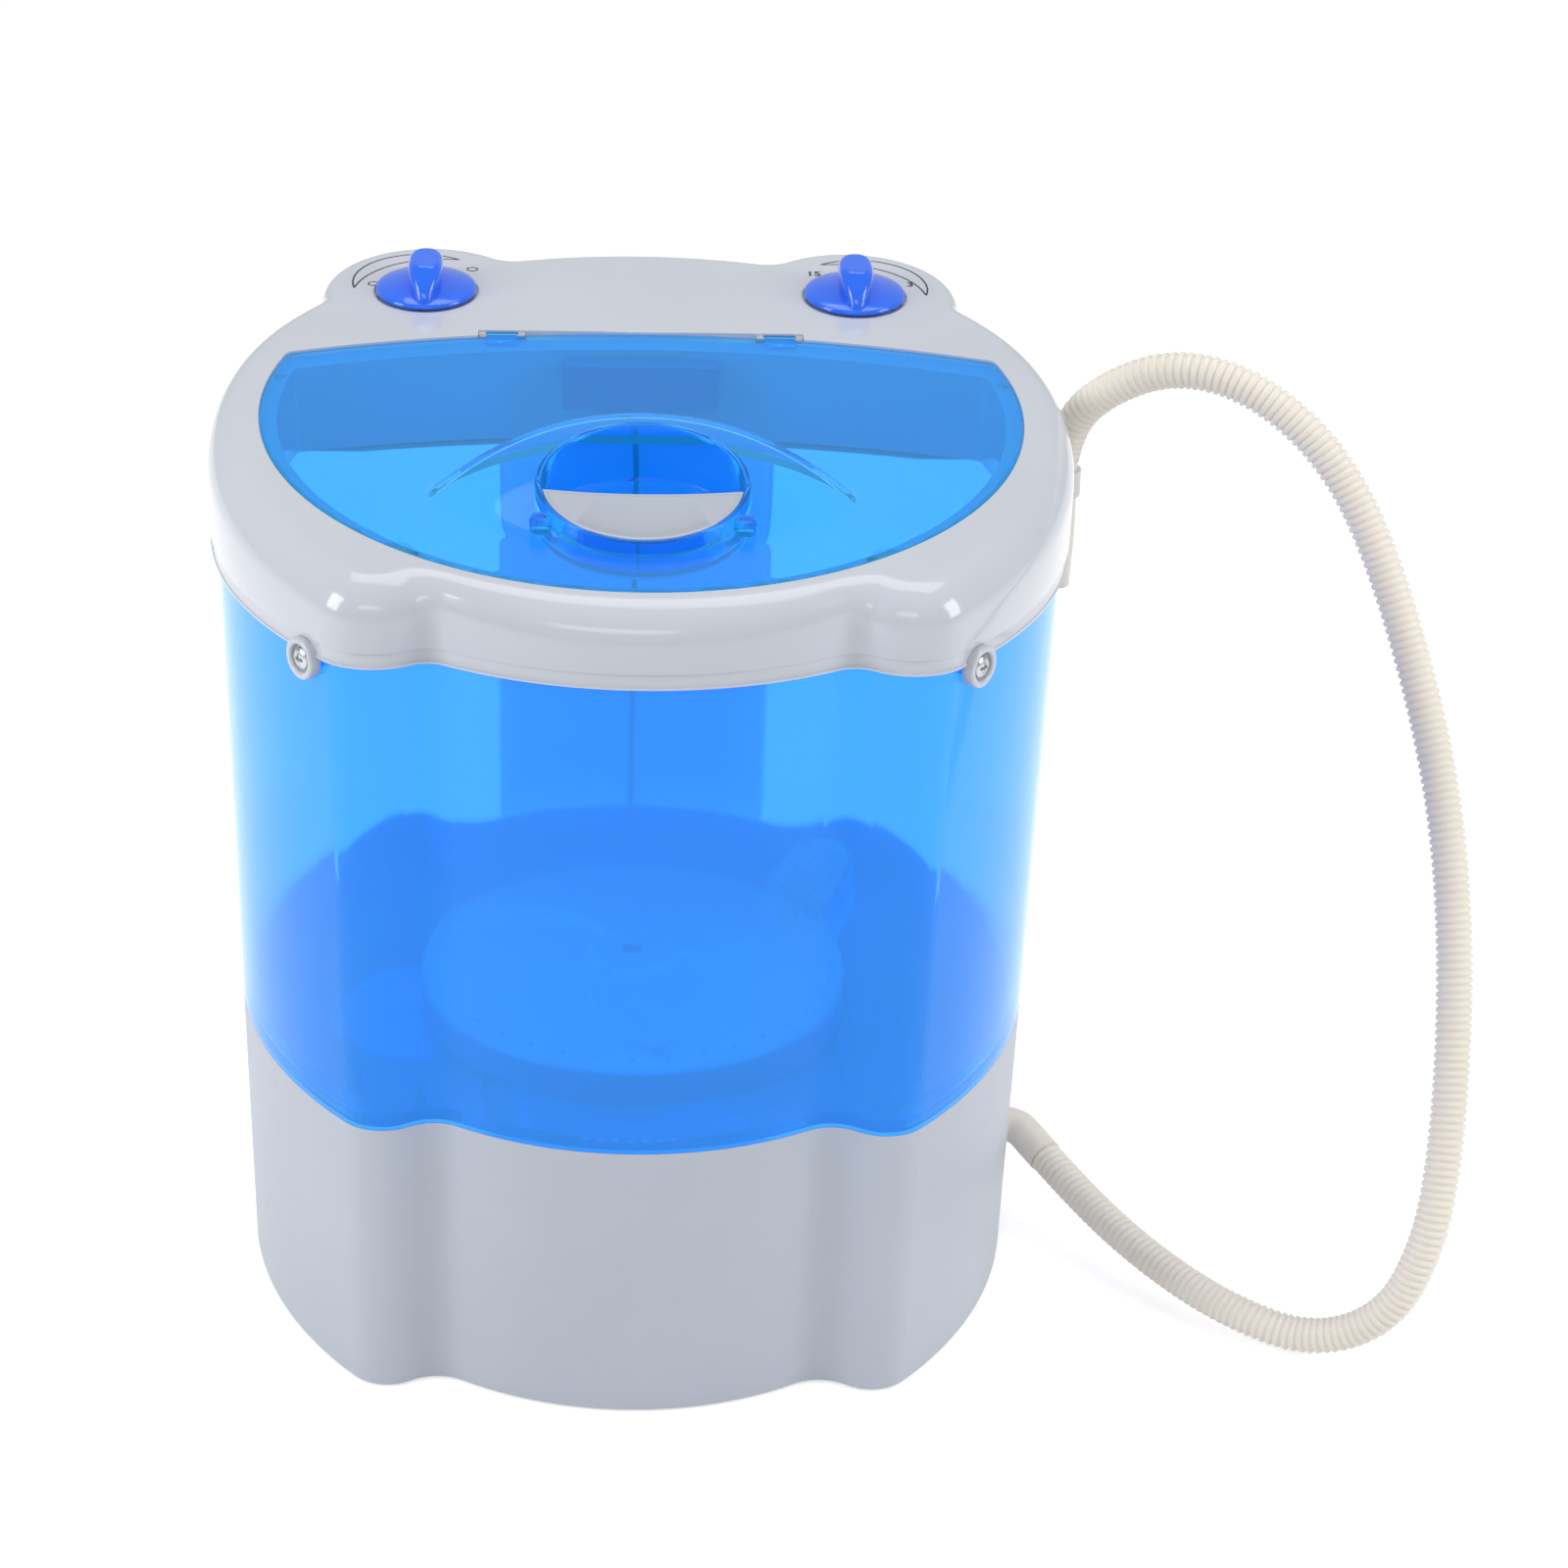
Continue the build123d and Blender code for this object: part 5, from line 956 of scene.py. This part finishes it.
class WASHER_OT_bosses(bpy.types.Operator):
    """Make the four raised rings on the collar's band and the cross-head screws in them."""

    bl_idname = "washer.bosses"
    bl_label = "Bosses and screws"

    def execute(self, context):
        mould = Mould()
        rows = [(8.3, 0.0), (8.8, 0.4), (8.9, 4.2), (8.6, 4.9), (8.0, 5.3), (7.2, 5.4), (6.5, 5.2),
                (6.1, 4.8), (5.9, 4.2), (5.8, 2.7), (2.2, 2.6), (2.2, 0.0), (8.3, 0.0)]
        mould.lathe(rows, lambda x, y, h: (x, y, h), 56)
        ring = mould.piece("boss ring", finish("collar_grey"), sharp=40)
        rings = repeated("collar_boss_rings", boss_places(2.3), ring, finish("collar_grey"), 40)
        riding(rings, "machine_body", "collar_grey")
        head = screw_head(4.6, 2.9)
        screws = repeated("collar_screw_heads", boss_places(4.9), head, finish("steel"), 50)
        riding(screws, "machine_body", "steel", "collar_screws")
        return {"FINISHED"}


def dome_rise(u, v, height, shift):
    """How far the lid's dome stands over the flat of the lid. It ends in a rounded step along the arch."""
    half_width, half_length, middle, outside, step = 100, 80, -45, 0.5, 3.6
    share = (u / half_width) ** 2 + ((v - middle) / half_length) ** 2
    past = sqrt(u * u + (v - ARCH_CENTRE_V) ** 2) - (ARCH_RADIUS - shift)
    if share >= 1 or past >= outside:
        return 0.0
    kept = min(1.0, max(0.0, (outside - past) / step))
    return height * (1 - share) ** 1.5 * (1 - (1 - kept) ** 3)


def rim_height(v):
    """Height of the cup's slanted rim over the panel."""
    return RIM_FRONT + (v - CUP_Y + CUP_RADIUS) * RIM_SLOPE


class WASHER_OT_lid(bpy.types.Operator):
    """Make the clear lid with its dome, its arch and its two hinge knuckles."""

    bl_idname = "washer.lid"
    bl_label = "Lid"

    def execute(self, context):
        height = context.scene.washer_sizes.dome_height / MM
        mould = Mould()
        hole = circle_at(0, CUP_Y, CUP_RADIUS + 0.3, 96)
        skins = []
        for shift, base, inset in ((0.0, LID_TOP, -0.5), (2.2, LID_TOP - LID_WALL, -0.4)):
            edge = [(u, v) for u, v, _, _ in lid_loop(inset, inset)]

            def place(u, v, shift=shift, base=base):
                return on_panel(u, v, base + dome_rise(u, v, height, shift))

            mould.fill([edge, hole], place, self.spots(shift))
            skins.append([place(u, v) for u, v in hole])
        mould.skin(skins)
        rim = ((-0.5, -0.5, LID_TOP), (-0.15, 1.3, LID_TOP - 0.12), (0.0, 1.5, LID_TOP - 0.5),
               (0.0, 1.3, LID_TOP - 1.0), (0.0, 0.0, LID_TOP - 1.6), (0.0, 0.0, LID_TOP - LID_WALL + 0.4),
               (-0.12, -0.12, LID_TOP - LID_WALL + 0.1), (-0.4, -0.4, LID_TOP - LID_WALL))
        mould.skin([lid_ring(grow, back, depth) for grow, back, depth in rim])
        self.knuckles(mould)
        riding(mould.piece("lid_shell", finish("lid_blue"), sharp=38), "lid", "lid_blue", "lid")
        return {"FINISHED"}

    def spots(self, shift):
        """Points that carry the dome's shape: rows along the arch, rings round the cup and an even grid."""
        rows = []
        for past in (0.6, 0.1, -0.4, -1.0, -1.7, -2.5, -3.4, -5.5, -8.5):
            radius = ARCH_RADIUS - shift + past
            for step in range(201):
                turn = radians(10 + 0.8 * step)
                rows.append((radius * cos(turn), ARCH_CENTRE_V + radius * sin(turn)))
        for radius in (CUP_RADIUS + 1.6, CUP_RADIUS + 3.6):
            rows += circle_at(0, CUP_Y, radius, 96)
        kept = [spot for spot in rows if self.clear_of_hole(spot)]
        across, along, rim = 4.1, 3.6, 4
        for i in range(-40, 41):
            for j in range(-44, 23):
                u, v = across * i, along * j
                arch = sqrt(u * u + (v - ARCH_CENTRE_V) ** 2) - ARCH_RADIUS + shift
                inside = sqrt(u * u + (v - LID_CENTRE[1]) ** 2) < LID_RADIUS - rim
                behind = u * u + (v - LID_BACK_Y + LID_BACK_RADIUS) ** 2 < (LID_BACK_RADIUS - rim) ** 2
                if inside and behind and not -10.5 < arch < 2 and self.clear_of_hole((u, v), 5):
                    kept.append((u, v))
        return kept

    def clear_of_hole(self, spot, room=1.2):
        """Whether a point is outside the cup's hole by some room."""
        return sqrt(spot[0] ** 2 + (spot[1] - CUP_Y) ** 2) > CUP_RADIUS + 0.3 + room

    def knuckles(self, mould):
        """The two knuckles round the hinge pins, each with its tongue into the lid."""
        for hand in (-1, 1):
            rows = [(1.25, -7), (2.1, -7), (2.4, -6.7), (2.4, 6.7), (2.1, 7), (1.25, 7), (1.25, -7)]
            hub = hand * HINGE_X
            mould.lathe(rows, lambda x, y, h, hub=hub: on_panel(hub + h, LID_BACK_Y + x, y - PIN_DEPTH), 24)
            mould.block((hub - 7, hub + 7), (70.0, 76.6), (LID_TOP - LID_WALL, LID_TOP))


class WASHER_OT_cup(bpy.types.Operator):
    """Make the finger cup with its slanted rim, its two lugs, and the grey grip plate over its front."""

    bl_idname = "washer.cup"
    bl_label = "Finger cup and grip plate"

    def execute(self, context):
        self.cup()
        self.plate()
        return {"FINISHED"}

    def cup(self):
        """The cup, its lower rows level and its rim rows slanted, with the two lugs at its front."""
        mould = Mould()
        sides = 112
        rows = [(30.0, -14.0, 0), (42.4, -14.0, 0), (43.5, -13.6, 0), (43.9, -12.6, 0), (43.9, -0.7, 1),
                (43.7, -0.25, 1), (43.2, 0.0, 1), (42.2, 0.0, 1), (41.7, -0.25, 1), (41.5, -0.7, 1),
                (41.5, -10.0, 0), (41.0, -11.0, 0), (39.8, -11.6, 0), (30.0, -11.6, 0)]
        rings = []
        for radius, depth, slanted in rows:
            points = circle_at(0, CUP_Y, radius, sides)
            rings.append(mould.ring([on_panel(u, v, depth + slanted * rim_height(v)) for u, v in points]))
        mould.wall(rings)
        mould.plug(rings)
        for hand in (-1, 1):
            lug = [(4.0, -0.2), (4.5, 0.4), (4.5, 5.4), (4.1, 6.1), (3.2, 6.5), (1.2, 6.6)]
            spot = (hand * LUG_PLACE[0], LUG_PLACE[1])
            mould.plug(mould.lathe(lug, lambda x, y, h, spot=spot: on_panel(spot[0] + x, spot[1] + y, h), 32))
        made = mould.piece("lid_cup", finish("cup_blue"), sharp=40)
        riding(made, "lid", "cup_blue", "lid_handle_cup")

    def plate(self):
        """The grip plate, just under the cup's rim, with a rounded edge and a shallow hollow."""
        reach, chord, sag, half_depth = 41.2, -88.0, 3.0, 16
        bend = (reach**2 + sag**2) / (2 * sag)
        middle = (0.0, chord - sag + bend)
        corner = meeting((0.0, CUP_Y), reach, middle, bend, -1)
        half = (arc((0.0, CUP_Y), reach, (0, CUP_Y - reach), corner, 48)
                + arc(middle, bend, corner, (0, chord - sag), 24, hollow=True))
        loop = mirrored(half, (0.0, chord - sag, 0.0, 1.0))
        mould = Mould()
        centre = chord - 14

        def ring(inset, depth):
            across, along = 1 - inset / reach, 1 - inset / half_depth
            return [(u * across, centre + (v - centre) * along, depth) for u, v, _, _ in loop]

        def place(u, v, depth):
            return on_panel(u, v, rim_height(v) - 0.2 + depth)

        edge = ((1.9, -0.55), (1.5, -0.2), (1.1, 0.0), (0.5, 0.0), (0.12, -0.2), (0.0, -0.6), (0.0, -2.1),
                (0.3, -2.4))
        rows = [ring(inset, depth) for inset, depth in edge]
        mould.skin([[place(*spot) for spot in row] for row in reversed(rows)])
        for row in (rows[0], rows[-1]):
            depth = row[0][2]
            mould.fill([[(u, v) for u, v, _ in row]], lambda u, v, depth=depth: place(u, v, depth))
        made = mould.piece("lid_grip", finish("grip_grey"), sharp=45)
        riding(made, "lid", "grip_grey", "lid_handle_plate")


def pill(half_length, half_width, power=0.72, count=48):
    """Points of a rounded bar seen from above, along the panel's slope."""
    rows = []
    for i in range(count):
        turn = 2 * pi * i / count
        c, s = cos(turn), sin(turn)
        rows.append((half_width * abs(c) ** power * (1 if c >= 0 else -1),
                     half_length * abs(s) ** power * (1 if s >= 0 else -1)))
    return rows


class WASHER_OT_knobs(bpy.types.Operator):
    """Make the two turn knobs: a domed disc with a waisted grip across it."""

    bl_idname = "washer.knobs"
    bl_label = "Knobs"

    def execute(self, context):
        for name, hand, body, node in (("inlet_turn_knob", -1, "inlet_knob", "water_inlet_knob"),
                                       ("timer_turn_knob", 1, "timer_knob", "wash_timer_knob")):
            mould = Mould()

            def place(x, y, h, hand=hand):
                return on_panel(hand * KNOB_X + x, KNOB_Y + y, h)

            disc = [(6.0, 0.3), (22.4, 0.3), (22.9, 0.6), (23.0, 1.2), (22.9, 1.9), (22.4, 2.5), (21.6, 2.9),
                    (19.0, 3.7), (15.0, 4.7), (10.0, 5.5), (5.0, 5.9), (1.0, 6.0)]
            mould.plug(mould.lathe(disc, place, 80))
            grip = [(22.2, 6.7, 1.8), (21.9, 6.1, 3.2), (21.3, 5.9, 4.8), (20.3, 6.3, 6.6), (19.0, 7.1, 8.6),
                    (17.2, 7.8, 10.6), (15.2, 8.0, 12.3), (13.4, 7.8, 13.8), (12.0, 7.3, 14.9),
                    (11.4, 6.8, 15.5), (10.8, 6.2, 16.0), (10.1, 5.5, 16.3), (9.2, 4.6, 16.35),
                    (5.0, 2.2, 16.2)]
            rings = [[place(x, y, h) for x, y in pill(length, width)] for length, width, h in grip]
            mould.plug(mould.skin(rings))
            riding(mould.piece(name, finish("knob_blue"), sharp=50), body, "knob_blue", node)
        return {"FINISHED"}


class WASHER_OT_marks(bpy.types.Operator):
    """Make the thin marks round the knobs: a crescent at each, two small signs and plain numbers."""

    bl_idname = "washer.marks"
    bl_label = "Marks"

    def execute(self, context):
        mould = Mould()
        tips = ((-33.0, 1.5), (14.0, 34.5))
        edge = self.bend(tips[0], (-21.5, 34.5), tips[1]) + self.bend(tips[1], (-15.5, 28.5), tips[0])
        for hand in (-1, 1):
            self.line(mould, [(hand * (KNOB_X - x), KNOB_Y + y) for x, y in edge])
        for x, y in ((-24.5, 6.5), (20.2, 24.1)):
            turns = [radians(60 * i + 30) for i in range(6)]
            self.line(mould, [(x - KNOB_X + 2.6 * cos(t), y + KNOB_Y + 2.2 * sin(t)) for t in turns])
        made = mould.piece("panel_marks", finish("mark_ink"), merge=1e-9)
        riding(made, "machine_body", "black_plastic")
        for name, text, x, y in (("number_high", "15", KNOB_X - 17.5, KNOB_Y + 24.0),
                                 ("number_low", "3", KNOB_X + 26.5, KNOB_Y + 13.5)):
            self.number(name, text, x, y)
        return {"FINISHED"}

    def bend(self, first, middle, last, count=40):
        """Points of the arc through three points."""
        (ax, ay), (bx, by), (cx, cy) = first, middle, last
        d = 2 * (ax * (by - cy) + bx * (cy - ay) + cx * (ay - by))
        sa, sb, sc = ax * ax + ay * ay, bx * bx + by * by, cx * cx + cy * cy
        x = (sa * (by - cy) + sb * (cy - ay) + sc * (ay - by)) / d
        y = (sa * (cx - bx) + sb * (ax - cx) + sc * (bx - ax)) / d
        radius = sqrt((ax - x) ** 2 + (ay - y) ** 2)
        half = count // 2
        rows = arc((x, y), radius, first, middle, half) + arc((x, y), radius, middle, last, half)
        return [(px, py) for px, py, _, _ in rows]

    def line(self, mould, points, width=0.8):
        """A thin flat line of ink along a closed loop of points in the panel's axes."""
        count = len(points)
        left, right = [], []
        for i, (x, y) in enumerate(points):
            before, after = points[i - 1], points[(i + 1) % count]
            along = Vector((after[0] - before[0], after[1] - before[1])).normalized()
            left.append((x - along.y * width / 2, y + along.x * width / 2))
            right.append((x + along.y * width / 2, y - along.x * width / 2))
        rings = [mould.ring([on_panel(u, v, w) for u, v in side])
                 for side, w in ((left, 0.01), (left, 0.06), (right, 0.06), (right, 0.01))]
        mould.wall(rings, closed=True)

    def number(self, name, text, x, y):
        """A plain number, lying on the panel."""
        curve = bpy.data.curves.new(name, "FONT")
        curve.body = text
        curve.align_x = "CENTER"
        curve.align_y = "CENTER"
        curve.size = 0.0068
        curve.extrude = 0.00003
        curve.offset = 0.00016
        mesh = plain_mesh(put(name, curve))
        cleaned(mesh, 1e-7)
        for vertex in mesh.vertices:
            u, v, w = vertex.co / MM
            vertex.co = Vector(on_panel(x + u, y + v, w + 0.04)) * MM
        riding(finished(name, mesh, finish("mark_ink")), "machine_body", "black_plastic")


class WASHER_PT_panel(bpy.types.Panel):
    """Lists the sizes, the colours and the steps that make the washer."""

    bl_label = "Mini washing machine"
    bl_idname = "WASHER_PT_panel"
    bl_space_type = "VIEW_3D"
    bl_region_type = "UI"
    bl_category = "Washer"

    def draw(self, context):
        layout = self.layout
        for group in (context.scene.washer_sizes, context.scene.washer_colours, context.scene.washer_stage):
            box = layout.box()
            for key in group.bl_rna.properties.keys():
                if key not in ("rna_type", "name"):
                    box.prop(group, key)
        for step in STEPS:
            layout.operator(step.bl_idname)


STEPS = (
    WASHER_OT_stage,
    WASHER_OT_hose,
    WASHER_OT_collar,
    WASHER_OT_bosses,
    WASHER_OT_lid,
    WASHER_OT_cup,
    WASHER_OT_knobs,
    WASHER_OT_marks,
    WASHER_OT_dress,
)
CLASSES = (WasherSizes, WasherColours, WasherStage, *STEPS, WASHER_PT_panel)
GROUPS = {"washer_sizes": WasherSizes, "washer_colours": WasherColours, "washer_stage": WasherStage}


def register():
    """Registers the classes and hangs the property groups on the scene."""
    for kind in CLASSES:
        bpy.utils.register_class(kind)
    for name, kind in GROUPS.items():
        setattr(bpy.types.Scene, name, bpy.props.PointerProperty(type=kind))


def unregister():
    """Takes back what register did."""
    for name in GROUPS:
        delattr(bpy.types.Scene, name)
    for kind in reversed(CLASSES):
        bpy.utils.unregister_class(kind)


def main():
    """Runs every step in order."""
    register()
    for step in STEPS:
        area, action = step.bl_idname.split(".")
        getattr(getattr(bpy.ops, area), action)()
    bpy.context.view_layer.update()


if __name__ == "__main__":
    main()
